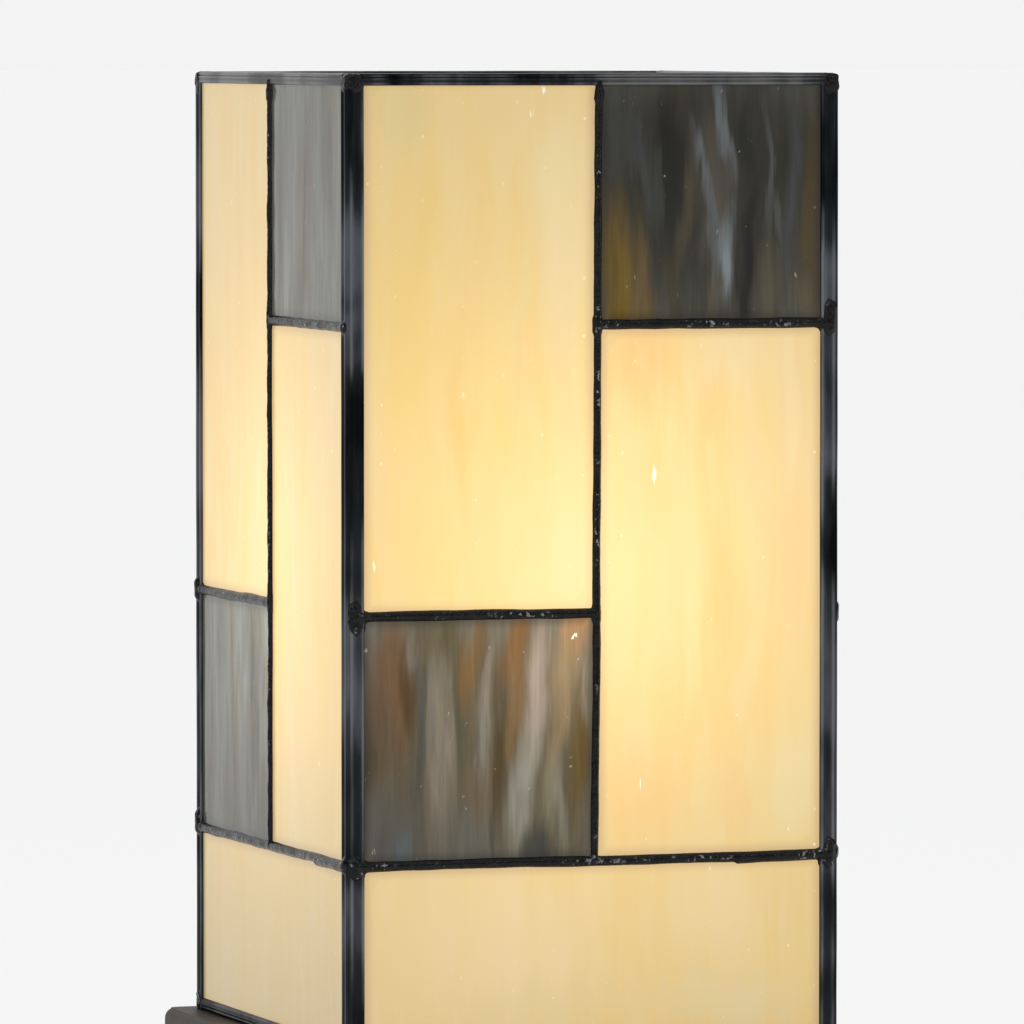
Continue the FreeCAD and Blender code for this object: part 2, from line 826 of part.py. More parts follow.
def bulb_screw_cap():
    """The bulb's small metal screw cap, with ridges in place of its thread and a collar round the glass."""
    start = "bulb_foot + screw_cap_start"
    ridges, flank = 4, "thread_pitch / 6"
    corners = [("screw_cap_bore", start), ("thread_root", start)]
    for turn in range(ridges):
        low = f"{start} + {turn + 0.25} * thread_pitch"
        high = f"{start} + {turn + 0.75} * thread_pitch"
        corners += [
            ("thread_root", low),
            ("thread_crest", f"{low} + {flank}"),
            ("thread_crest", f"{high} - {flank}"),
            ("thread_root", high),
        ]
    flare, collar = "bulb_foot + collar_start", "bulb_foot + collar_start + collar_flare"
    inner_collar = "bulb_neck_radius + glue_gap"
    corners += [
        ("thread_root", flare),
        ("collar_radius", collar),
        ("collar_radius", f"{collar} + collar_height"),
        (inner_collar, f"{collar} + collar_height"),
        (inner_collar, collar),
        ("screw_cap_bore", flare),
    ]
    turned("bulb_screw_cap", corners)


def bulb_contacts():
    """The solder tip at the foot of the bulb and the black glass insulator round it."""
    foot = "bulb_foot"
    crown = "(tip_radius^2 + tip_crown^2) / (2 * tip_crown)"
    turned(
        "bulb_tip_contact",
        [
            ("0", foot, crown, CCW),
            ("tip_radius", f"{foot} + tip_crown"),
            ("tip_radius", f"{foot} + tip_height"),
            ("0", f"{foot} + tip_height"),
        ],
    )
    start = f"{foot} + insulator_start"
    turned(
        "bulb_insulator",
        [
            ("tip_radius + glue_gap", start),
            ("insulator_radius", start),
            ("thread_root - 2 * insulator_gap", f"{start} + insulator_slope"),
            ("screw_cap_bore - insulator_gap", f"{start} + insulator_slope"),
            ("screw_cap_bore - insulator_gap", f"{start} + insulator_height"),
            ("tip_radius + glue_gap", f"{start} + insulator_height"),
        ],
    )


def bulb_glass():
    """The candle-shaped glass envelope: a hollow shell with a straight neck and three arcs above it."""
    inner_belly = "bulb_belly_radius - bulb_wall"
    # The inner shoulder lies one wall in from the outer one, towards the upper arc's centre.
    inner_shoulder = "bulb_shoulder_radius - bulb_wall * (upper_curve - tip_swell) / upper_curve"
    inner_level = "shoulder_level - bulb_wall * bulb_shoulder_rise / upper_curve"
    tip_radius = "tip_share * upper_curve"
    turned(
        "bulb_glass",
        [
            ("bulb_neck_radius - bulb_wall", "glass_foot"),
            ("bulb_neck_radius", "glass_foot"),
            ("bulb_neck_radius", "neck_top", "lower_curve", CCW),
            ("bulb_belly_radius", "belly_level", "upper_curve", CCW),
            ("bulb_shoulder_radius", "shoulder_level", tip_radius, CCW),
            ("0", "bulb_top"),
            ("0", "bulb_top - bulb_wall", f"{tip_radius} - bulb_wall", CW),
            (inner_shoulder, inner_level, "upper_curve - bulb_wall", CW),
            (inner_belly, "belly_level", "lower_curve", CW),
            ("bulb_neck_radius - bulb_wall", "neck_top"),
        ],
    )


def bulb_inside():
    """The glass stem, flared to meet the neck, the two support wires and the filament between their tips."""
    flare = "bulb_neck_radius - bulb_wall - stem_gap"
    turned(
        "bulb_stem",
        [
            ("0", "glass_foot"),
            (flare, "glass_foot"),
            (flare, "glass_foot + stem_flare"),
            ("stem_waist", "glass_foot + stem_height / 3"),
            ("stem_waist", "stem_top - stem_waist"),
            ("stem_waist / 2", "stem_top"),
            ("0", "stem_top"),
        ],
    )
    wires = []
    lean = math.degrees(math.atan2(SIZES["wire_spread"] - SIZES["wire_start"], SIZES["wire_height"]))
    length = "sqrt((wire_spread - wire_start)^2 + wire_height^2)"
    for name, side, angle in (("left", "-", -lean), ("right", "", lean)):
        wires.append(
            primitive(
                "Cylinder", f"wire_{name}", (f"{side}wire_start", "0", "wire_foot"),
                turn=FreeCAD.Rotation(FreeCAD.Vector(0, 1, 0), angle), Radius="wire_radius", Height=length,
            )
        )
    group("bulb_support_wires", wires)
    filament = primitive(
        "Cylinder", "bulb_filament", ("-wire_spread", "0", "filament_level"),
        turn=FreeCAD.Rotation(FreeCAD.Vector(0, 1, 0), 90),
        Radius="filament_radius", Height="2 * wire_spread",
    )
    pieces.append(filament)


bulb_screw_cap()
bulb_contacts()
bulb_glass()
bulb_inside()


# ---------------------------------------------------------------- checks and files

doc.recompute()
failed = [o.Name for o in doc.Objects if {"Invalid", "Error"} & set(o.State)]
if failed:
    raise RuntimeError(f"these objects failed: {failed}")
os.makedirs("parts", exist_ok=True)
for piece in pieces:
    shape = piece.Shape
    if shape.isNull() or not shape.isValid() or shape.Volume <= 0:
        raise RuntimeError(f"{piece.Label} has no valid solid")
    shape.exportStep(f"parts/{piece.Label}.step")
print(f"{len(pieces)} sub-parts written")
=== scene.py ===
"""The look of a square stained glass column lamp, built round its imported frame. All sizes are in metres."""

import math
import random

import bmesh
import bpy
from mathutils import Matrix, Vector, noise


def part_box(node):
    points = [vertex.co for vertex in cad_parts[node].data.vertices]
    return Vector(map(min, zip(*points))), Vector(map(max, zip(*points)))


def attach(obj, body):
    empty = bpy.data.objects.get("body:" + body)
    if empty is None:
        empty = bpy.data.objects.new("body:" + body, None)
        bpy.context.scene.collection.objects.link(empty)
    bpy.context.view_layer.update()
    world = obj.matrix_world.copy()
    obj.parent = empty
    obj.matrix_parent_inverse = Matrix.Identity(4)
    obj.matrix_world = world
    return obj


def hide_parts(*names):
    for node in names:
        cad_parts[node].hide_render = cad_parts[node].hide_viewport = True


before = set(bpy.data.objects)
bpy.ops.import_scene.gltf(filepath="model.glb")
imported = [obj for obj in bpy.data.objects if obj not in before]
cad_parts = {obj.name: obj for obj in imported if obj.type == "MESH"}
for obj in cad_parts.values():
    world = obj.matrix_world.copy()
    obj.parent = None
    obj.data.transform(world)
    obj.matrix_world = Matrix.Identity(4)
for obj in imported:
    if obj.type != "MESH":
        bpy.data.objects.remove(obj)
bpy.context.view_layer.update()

# ================================================================ camera, floor and light
# The lamp stands on a plain pale floor, seen from its front left through a long lens, from just above
# its rim. A bright wall lies behind it, and soft boxes stand above it and to its sides.

scene = bpy.context.scene
scene.view_settings.view_transform = "Standard"

lens = bpy.data.cameras.new("camera")
lens.lens = 327.9
lens.sensor_width = 36
camera = bpy.data.objects.new("camera", lens)
camera.location = (-0.7329, -2.1711, 0.2771)
camera.rotation_euler = (math.radians(90 - 2.957), 0, math.radians(-18.657))
scene.collection.objects.link(camera)
scene.camera = camera


def node(tree, kind, inputs=None, **settings):
    """Adds a shader node. An input is given a value, or linked if the value is another node's output."""
    made = tree.nodes.new(f"ShaderNode{kind}")
    for name, value in settings.items():
        setattr(made, name, value)
    for name, value in (inputs or {}).items():
        if isinstance(value, bpy.types.NodeSocket):
            tree.links.new(value, made.inputs[name])
        else:
            made.inputs[name].default_value = value
    return made


def math_node(tree, operation, *values):
    return node(tree, "Math", dict(enumerate(values)), operation=operation).outputs[0]


def ramp(tree, share, *stops):
    """A colour that follows share through the stops, each (place from 0 to 1, colour)."""
    made = node(tree, "ValToRGB", {"Fac": share})
    band = made.color_ramp
    while len(band.elements) < len(stops):
        band.elements.new(0.5)
    for element, (place, colour) in zip(band.elements, stops):
        element.position = place
        element.color = (*colour, 1)
    return made.outputs["Color"]


def steps(tree, share, low, high):
    """0 below low and 1 above high, with a soft step between them."""
    limits = {"Value": share, "From Min": low, "From Max": high}
    return node(tree, "MapRange", limits, interpolation_type="SMOOTHSTEP").outputs["Result"]


def mix(tree, share, first, second, how="MIX"):
    """The first colour with the second one laid over it by share."""
    made = node(tree, "Mix", {0: share, 6: first, 7: second}, data_type="RGBA", blend_type=how)
    return made.outputs[2]


def new_material(name, values):
    """A new material with its plain values set on the shader. Returns it with its tree and its shader."""
    made = bpy.data.materials.new(name)
    made.use_nodes = True
    tree = made.node_tree
    shader = tree.nodes["Principled BSDF"]
    for socket, value in values.items():
        shader.inputs[socket].default_value = value
    return made, tree, shader


def softbox(name, place, aim, width, height, power, colour):
    """A flat studio light that faces a point."""
    light = bpy.data.lights.new(name, "AREA")
    light.shape = "RECTANGLE"
    light.size, light.size_y = width, height
    light.energy, light.color = power, colour
    stand = bpy.data.objects.new(name, light)
    stand.location = place
    stand.rotation_euler = (Vector(aim) - Vector(place)).to_track_quat("-Z", "Y").to_euler()
    scene.collection.objects.link(stand)


middle = (0, 0, 0.15)
softbox("top_softbox", (-0.4, -0.5, 1.7), middle, 1.2, 1.2, 5, (1, 1, 1))
softbox("left_softbox", (-1.8, -0.9, 0.9), middle, 0.3, 1.3, 4, (0.9, 0.95, 1))
softbox("right_softbox", (1.7, -1.0, 0.9), middle, 0.3, 1.3, 4, (0.9, 0.95, 1))
softbox("left_spot", (-1.1, -1.3, 1.1), middle, 0.10, 0.10, 2.5, (1, 1, 1))
softbox("right_spot", (0.9, -1.6, 1.2), middle, 0.08, 0.08, 2.0, (1, 1, 1))
softbox("low_spot", (-0.5, -1.9, 0.55), middle, 0.05, 0.05, 0.5, (1, 1, 1))

FLOOR_REACH = 60  # far enough that its edge meets the wall at the height of the camera
plain = {"Base Color": (0.13, 0.13, 0.13, 1), "Roughness": 0.9, "Emission Color": (1, 1, 1, 1)}
floor_material, tree, shader = new_material("pale_floor", plain | {"Emission Strength": 0.787})
floor_mesh = bpy.data.meshes.new("floor")
reach = [(-1, -1), (1, -1), (1, 1), (-1, 1)]
floor_mesh.from_pydata([(x * FLOOR_REACH, y * FLOOR_REACH, 0) for x, y in reach], [], [(0, 1, 2, 3)])
floor_mesh.materials.append(floor_material)
floor = bpy.data.objects.new("floor", floor_mesh)
scene.collection.objects.link(floor)

sky = bpy.data.worlds.new("studio")
scene.world = sky
sky.use_nodes = True
tree = sky.node_tree
direction = node(tree, "TexCoord").outputs["Generated"]
across = node(tree, "SeparateXYZ", {"Vector": direction}).outputs
wall = steps(tree, across["Y"], 0.35, 0.9)
roof = steps(tree, across["Z"], 0.3, 0.9)
lit = math_node(tree, "MAXIMUM", wall, math_node(tree, "MULTIPLY", roof, 0.55))
room = ramp(tree, lit, (0, (0.16, 0.17, 0.19)), (1, (0.92, 0.92, 0.92)))
seen = node(tree, "LightPath").outputs["Is Camera Ray"]
backdrop = tree.nodes["Background"]
tree.links.new(mix(tree, seen, room, (0.9, 0.9, 0.9, 1)), backdrop.inputs["Color"])

# ================================================================ glass panes
# Twenty panes of hand-rolled opalescent sheet glass, 3 mm thick, scored and snapped to size. Each is cut
# from another place on its sheet, with the grain upright, and lies loose in its cames until soldered.

SIDES = {"front": 0, "right": 1, "back": 2, "left": 3}
PANES = ("upper_cream_pane", "lower_dark_pane", "upper_dark_pane", "lower_cream_pane", "bottom_cream_pane")
MM = 0.001
GRID = 2.5 * MM  # the distance between points on a pane
RIPPLE = 0.07 * MM
lamp_middle = Vector((0, 0, 0.149))  # where the glow comes from
NEAREST_GLASS = 0.0605  # how far the filament is from the nearest glass
FROM_BULB, BOUNCED = 0.64, 0.40  # the shares of the light there that come straight and bounced about
# Points further than this to the left or right are on the left and right faces.
side_faces = -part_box("front_upper_cream_pane")[1].y - 0.2 * MM


def quarter_turns(point, turns):
    """The point, turned about the lamp's upright axis by quarter turns."""
    x, y, z = point
    for _ in range(turns):
        x, y = -y, x
    return x, y, z


def new_piece(name, points, faces, material, body, replaced=(), crisp=35):
    """A piece of the lamp from its points and faces. Edges sharper than crisp degrees stay sharp."""
    mesh = bpy.data.meshes.new(name)
    mesh.from_pydata(points, [], faces)
    mesh.materials.append(material)
    soften(mesh, crisp)
    piece = bpy.data.objects.new(name, mesh)
    scene.collection.objects.link(piece)
    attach(piece, body)
    if replaced:
        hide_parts(*replaced)
    return piece


def soften(mesh, crisp):
    """Points every face outwards and shades it smooth, apart from edges sharper than crisp degrees."""
    shape = bmesh.new()
    shape.from_mesh(mesh)
    bmesh.ops.recalc_face_normals(shape, faces=shape.faces)
    for face in shape.faces:
        face.smooth = True
    for edge in shape.edges:
        if len(edge.link_faces) == 2 and edge.calc_face_angle(0) > math.radians(crisp):
            edge.smooth = False
    shape.to_mesh(mesh)
    shape.free()


def seam_line(side, height):
    """Where the upright seam of a side stands at a height. The front one leans a little to the right."""
    return 0.0003 + 0.0052 * (height - 0.078) if side == "front" else 0.0


def glass_pane(side, pane, material):
    """One pane: two rippled faces and a snapped edge. It keeps its place on the sheet as 'sheet', and each
    point's distance from the nearest edge as 'inset'."""
    name = f"{side}_{pane}"
    low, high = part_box(f"front_{pane}")
    columns, rows = round((high.x - low.x) / GRID), round((high.z - low.z) / GRID)
    chance = random.Random(name)
    cut = Vector((chance.uniform(0.5, 3), chance.uniform(0.5, 3), chance.uniform(0, 9)))
    if side == "front":  # the front panes are cut where the sheet has its best streaks
        cut = Vector((0, 0, 0))
    points, sheet, inset = [], [], []
    for layer, inwards in ((low.y, 1), (high.y, -1)):
        for row in range(rows + 1):
            for column in range(columns + 1):
                x = low.x + (high.x - low.x) * column / columns
                z = low.z + (high.z - low.z) * row / rows
                near_seam = 1 - abs(x) / max(abs(low.x), abs(high.x))
                lean = 0 if pane == "bottom_cream_pane" else seam_line(side, z) * near_seam
                edge = min(x - low.x, high.x - x, z - low.z, high.z - z)
                wave = noise.noise(Vector((x * 75, layer * 900 + cut.z, z * 48)))
                dip = RIPPLE * (1 + wave) * min(1, edge / (2 * GRID))
                points.append(quarter_turns((x + lean, layer + inwards * dip, z), SIDES[side]))
                sheet.append((x + cut.x, z + cut.y, cut.z))
                inset.append(max(edge, 0))
    across, layer_size = columns + 1, (columns + 1) * (rows + 1)
    faces = []
    for row in range(rows):
        for column in range(columns):
            a = row * across + column
            quad = (a, a + 1, a + across + 1, a + across)
            faces.append(quad)
            faces.append(tuple(layer_size + i for i in reversed(quad)))
    border = list(range(columns))
    border += [r * across + columns for r in range(rows)]
    border += [rows * across + columns - c for c in range(columns)]
    border += [(rows - r) * across for r in range(rows)]
    for a, b in zip(border, border[1:] + border[:1]):
        faces.append((b, a, a + layer_size, b + layer_size))
    piece = new_piece(name, points, faces, material, "shade", [name])
    attributes = piece.data.attributes
    flat_list = [value for place in sheet for value in place]
    attributes.new("sheet", "FLOAT_VECTOR", "POINT").data.foreach_set("vector", flat_list)
    attributes.new("inset", "FLOAT", "POINT").data.foreach_set("value", inset)


def stretched(tree, place, across, along, deep=1):
    """Coordinates at so many waves per metre each way. On glass they run across and along the grain."""
    return node(tree, "Mapping", {"Vector": place, "Scale": (across, along, deep)}).outputs["Vector"]


def cloud(tree, place, detail=3, distortion=0.0, roughness=0.5):
    """Soft noise from 0 to 1, about 0.5 on average."""
    inputs = {"Vector": place, "Scale": 1, "Detail": detail, "Roughness": roughness}
    return node(tree, "TexNoise", inputs | {"Distortion": distortion}).outputs["Fac"]


def glow_through(tree):
    """How much of the bulb's light reaches each point of the glass, painted into it as its own glow: some
    from the bulb itself, less of it further off, and some bounced about inside the shade."""
    place = node(tree, "TexCoord").outputs["Object"]
    away = node(tree, "VectorMath", {0: place, 1: lamp_middle}, operation="SUBTRACT").outputs["Vector"]
    distance = node(tree, "VectorMath", {0: away}, operation="LENGTH").outputs["Value"]
    nearness = math_node(tree, "POWER", math_node(tree, "DIVIDE", NEAREST_GLASS, distance), 2.0)
    level = math_node(tree, "MULTIPLY_ADD", nearness, FROM_BULB, BOUNCED)
    # The filament lies across the lamp, so the left and right faces see it end on and get less of it.
    along = node(tree, "SeparateXYZ", {"Vector": place}).outputs
    end_on = math_node(tree, "GREATER_THAN", math_node(tree, "ABSOLUTE", along["X"]), side_faces)
    limits = {"Value": along["Z"], "From Min": 0.045, "From Max": 0.11, "To Min": 0.38, "To Max": 0.155}
    lost = node(tree, "MapRange", limits).outputs["Result"]
    kept = math_node(tree, "SUBTRACT", 1, math_node(tree, "MULTIPLY", end_on, lost))
    return math_node(tree, "MULTIPLY", level, kept)


def edge_shade(tree):
    """0 in the middle of a pane and 1 under its seams, where the beads inside throw a soft shadow."""
    inset = node(tree, "Attribute", attribute_name="inset").outputs["Fac"]
    return math_node(tree, "SUBTRACT", 1, steps(tree, inset, 0.0004, 0.0036))


def seeds(tree, place, across, along, size, rarity):
    """Small bubbles in the glass, drawn out along the grain. A higher rarity leaves fewer of them."""
    inputs = {"Vector": stretched(tree, place, across, along), "Scale": 1, "Randomness": 1}
    cell = node(tree, "TexVoronoi", inputs, voronoi_dimensions="2D").outputs
    chosen = node(tree, "SeparateXYZ", {"Vector": cell["Color"]}).outputs
    kept = math_node(tree, "GREATER_THAN", chosen["X"], rarity)
    wide = math_node(tree, "MULTIPLY_ADD", chosen["Y"], size * 0.7, size * 0.3)
    dot = math_node(tree, "LESS_THAN", cell["Distance"], wide)
    return math_node(tree, "MULTIPLY", dot, math_node(tree, "MULTIPLY", kept, chosen["Z"]))


def wavering(tree, place):
    """The place, pushed sideways in soft waves, so that what is laid out by it looks drawn and stirred."""
    slow = math_node(tree, "SUBTRACT", cloud(tree, stretched(tree, place, 38, 20), 2), 0.5)
    fast = math_node(tree, "SUBTRACT", cloud(tree, stretched(tree, place, 260, 34), 3), 0.5)
    finest = math_node(tree, "SUBTRACT", cloud(tree, stretched(tree, place, 1100, 60), 3), 0.5)
    feather = math_node(tree, "MULTIPLY_ADD", finest, 0.0022, math_node(tree, "MULTIPLY", fast, 0.0052))
    across = math_node(tree, "MULTIPLY_ADD", slow, 0.017, feather)
    up = math_node(tree, "MULTIPLY", fast, 0.02)
    push = node(tree, "CombineXYZ", {"X": across, "Y": up}).outputs["Vector"]
    return node(tree, "VectorMath", {0: place, 1: push}, operation="ADD").outputs["Vector"]


def streaked(tree, place, colour, marks):
    """The colour with long soft streaks over it, each (x, z, half its width, half its length, lean to the
    left in degrees, colour, strength), with its sizes in millimetres on the sheet."""
    for x, z, half, length, lean, tint, strength in marks:
        spot = {"Vector": place, "Location": (x * MM, z * MM, 0), "Rotation": (0, 0, math.radians(lean))}
        spot["Scale"] = (half * MM, length * MM, 0.01)
        near = node(tree, "Mapping", spot, vector_type="TEXTURE").outputs["Vector"]
        away = node(tree, "VectorMath", {0: near}, operation="LENGTH").outputs["Value"]
        limits = {"Value": away, "From Min": 1.05, "From Max": 0.15, "To Min": 0.0, "To Max": strength}
        share = node(tree, "MapRange", limits, interpolation_type="SMOOTHSTEP").outputs["Result"]
        colour = mix(tree, share, colour, (*tint, 1))
    return colour


# Streaks that show in the front cream panes, laid on the sheet one over the other.
CREAM_STREAKS = [
    # Upper left pane: honey down its left side, paler towards the upright seam.
    (-46, 204, 15, 54, 0, (1.08, 0.70, 0.155), 0.9),
    (-27, 200, 9, 36, -3, (1.07, 0.72, 0.195), 0.75),
    (-9, 238, 13, 42, 0, (1.04, 0.78, 0.345), 0.85),
    (-50, 258, 10, 14, 0, (0.90, 0.68, 0.235), 0.7),
    (-43, 152, 13, 22, 0, (1.06, 0.69, 0.180), 0.8),
    (-7, 150, 11, 18, 0, (0.90, 0.70, 0.340), 0.7),
    (-26, 156, 9, 22, 4, (0.94, 0.68, 0.210), 0.6),
    (-33, 184, 3.5, 22, 3, (1.02, 0.62, 0.125), 0.7),
    (-24, 180, 3, 16, -4, (1.05, 0.69, 0.160), 0.6),
    (-44, 232, 4, 18, 0, (1.03, 0.66, 0.130), 0.6),
    (-20, 214, 3, 18, 3, (1.00, 0.74, 0.270), 0.6),
    # Lower right pane: a peach streak at its upper left, and a honey one down its middle.
    (11, 202, 10, 22, 0, (1.08, 0.60, 0.140), 0.95),
    (36, 200, 17, 16, 0, (1.05, 0.76, 0.345), 0.85),
    (28, 186, 4, 14, -6, (1.06, 0.64, 0.180), 0.6),
    (33, 142, 8, 30, 0, (0.94, 0.61, 0.155), 0.85),
    (22, 158, 5, 24, 5, (0.92, 0.70, 0.240), 0.6),
    (11, 166, 8, 16, 0, (0.86, 0.64, 0.185), 0.6),
    (52, 150, 9, 32, 0, (1.06, 0.67, 0.225), 0.7),
    (40, 120, 3, 16, -5, (0.98, 0.74, 0.330), 0.5),
    (12, 92, 12, 16, 0, (1.08, 0.64, 0.180), 0.9),
    (36, 92, 8, 12, 0, (1.04, 0.66, 0.225), 0.7),
    (51, 94, 11, 22, 0, (1.02, 0.77, 0.345), 0.85),
    # Bottom pane: pale, and duller towards its foot.
    (-20, 58, 36, 26, 0, (1.08, 0.76, 0.340), 0.8),
    (30, 66, 20, 15, 0, (1.07, 0.76, 0.350), 0.6),
    (51, 70, 10, 16, 0, (1.02, 0.68, 0.230), 0.7),
    (4, 58, 4, 13, 4, (1.06, 0.68, 0.200), 0.7),
    (-34, 54, 4, 14, -4, (1.04, 0.70, 0.230), 0.5),
    (-12, 44, 34, 9, 0, (0.96, 0.70, 0.280), 0.5),
    (34, 44, 26, 10, 0, (0.93, 0.72, 0.330), 0.6),
    # A few large bright seeds.
    (14.2, 171, 0.7, 1.6, 0, (1.7, 1.6, 1.3), 1.0),
    (9.5, 95.5, 0.6, 1.4, 0, (1.5, 1.4, 1.1), 1.0),
    (-14.5, 260.5, 0.5, 0.8, 0, (1.4, 1.3, 1.1), 1.0),
    (-56.5, 148, 0.6, 1.2, 0, (1.5, 1.3, 0.9), 1.0),
]


def cream_glass():
    """Cream glass with soft honey and peach streaks. Its own colour is pale; light through it is warmer."""
    made, tree, shader = new_material("cream_glass", {"IOR": 1.42})
    sheet = node(tree, "Attribute", attribute_name="sheet").outputs["Vector"]
    broad = cloud(tree, stretched(tree, sheet, 42, 9), detail=2, distortion=0.5)
    fine = cloud(tree, stretched(tree, sheet, 170, 17), detail=4, distortion=0.5)
    grain = math_node(tree, "MULTIPLY_ADD", fine, 0.35, math_node(tree, "MULTIPLY", broad, 0.65))
    through = ramp(
        tree,
        grain,
        (0.34, (1.05, 0.76, 0.300)),
        (0.44, (1.06, 0.68, 0.200)),
        (0.52, (1.04, 0.71, 0.240)),
        (0.60, (1.03, 0.69, 0.260)),
        (0.68, (1.04, 0.77, 0.330)),
    )
    through = streaked(tree, wavering(tree, sheet), through, CREAM_STREAKS)
    wisp = steps(tree, cloud(tree, stretched(tree, sheet, 120, 15), 3, 1.2), 0.58, 0.74)
    through = mix(tree, math_node(tree, "MULTIPLY", wisp, 0.30), through, (1.05, 0.79, 0.38, 1))
    # Painted shadow of the beads along the seams: the glass is painted darker and browner close under them.
    rim = edge_shade(tree)
    through = mix(tree, math_node(tree, "MULTIPLY", rim, 0.8), through, (0.72, 0.44, 0.17, 1))
    bubbles = seeds(tree, sheet, 300, 210, 0.11, 0.90)
    through = mix(tree, math_node(tree, "MULTIPLY", bubbles, 0.7), through, (1.3, 1.1, 0.75, 1))
    light = glow_through(tree)
    # Painted hot spot: where the bulb's light is strongest, the glass is painted paler.
    hot = steps(tree, light, 0.80, 1.05)
    through = mix(tree, math_node(tree, "MULTIPLY", hot, 0.5), through, (0.95, 0.715, 0.30, 1))
    tree.links.new(mix(tree, 1, through, light, "MULTIPLY"), shader.inputs["Emission Color"])
    shader.inputs["Emission Strength"].default_value = 1.0
    own = ramp(tree, grain, (0.35, (0.225, 0.215, 0.145)), (0.65, (0.255, 0.245, 0.185)))
    tree.links.new(own, shader.inputs["Base Color"])
    dull = node(tree, "MapRange", {"Value": fine, "To Min": 0.10, "To Max": 0.24}).outputs["Result"]
    tree.links.new(dull, shader.inputs["Roughness"])
    return made


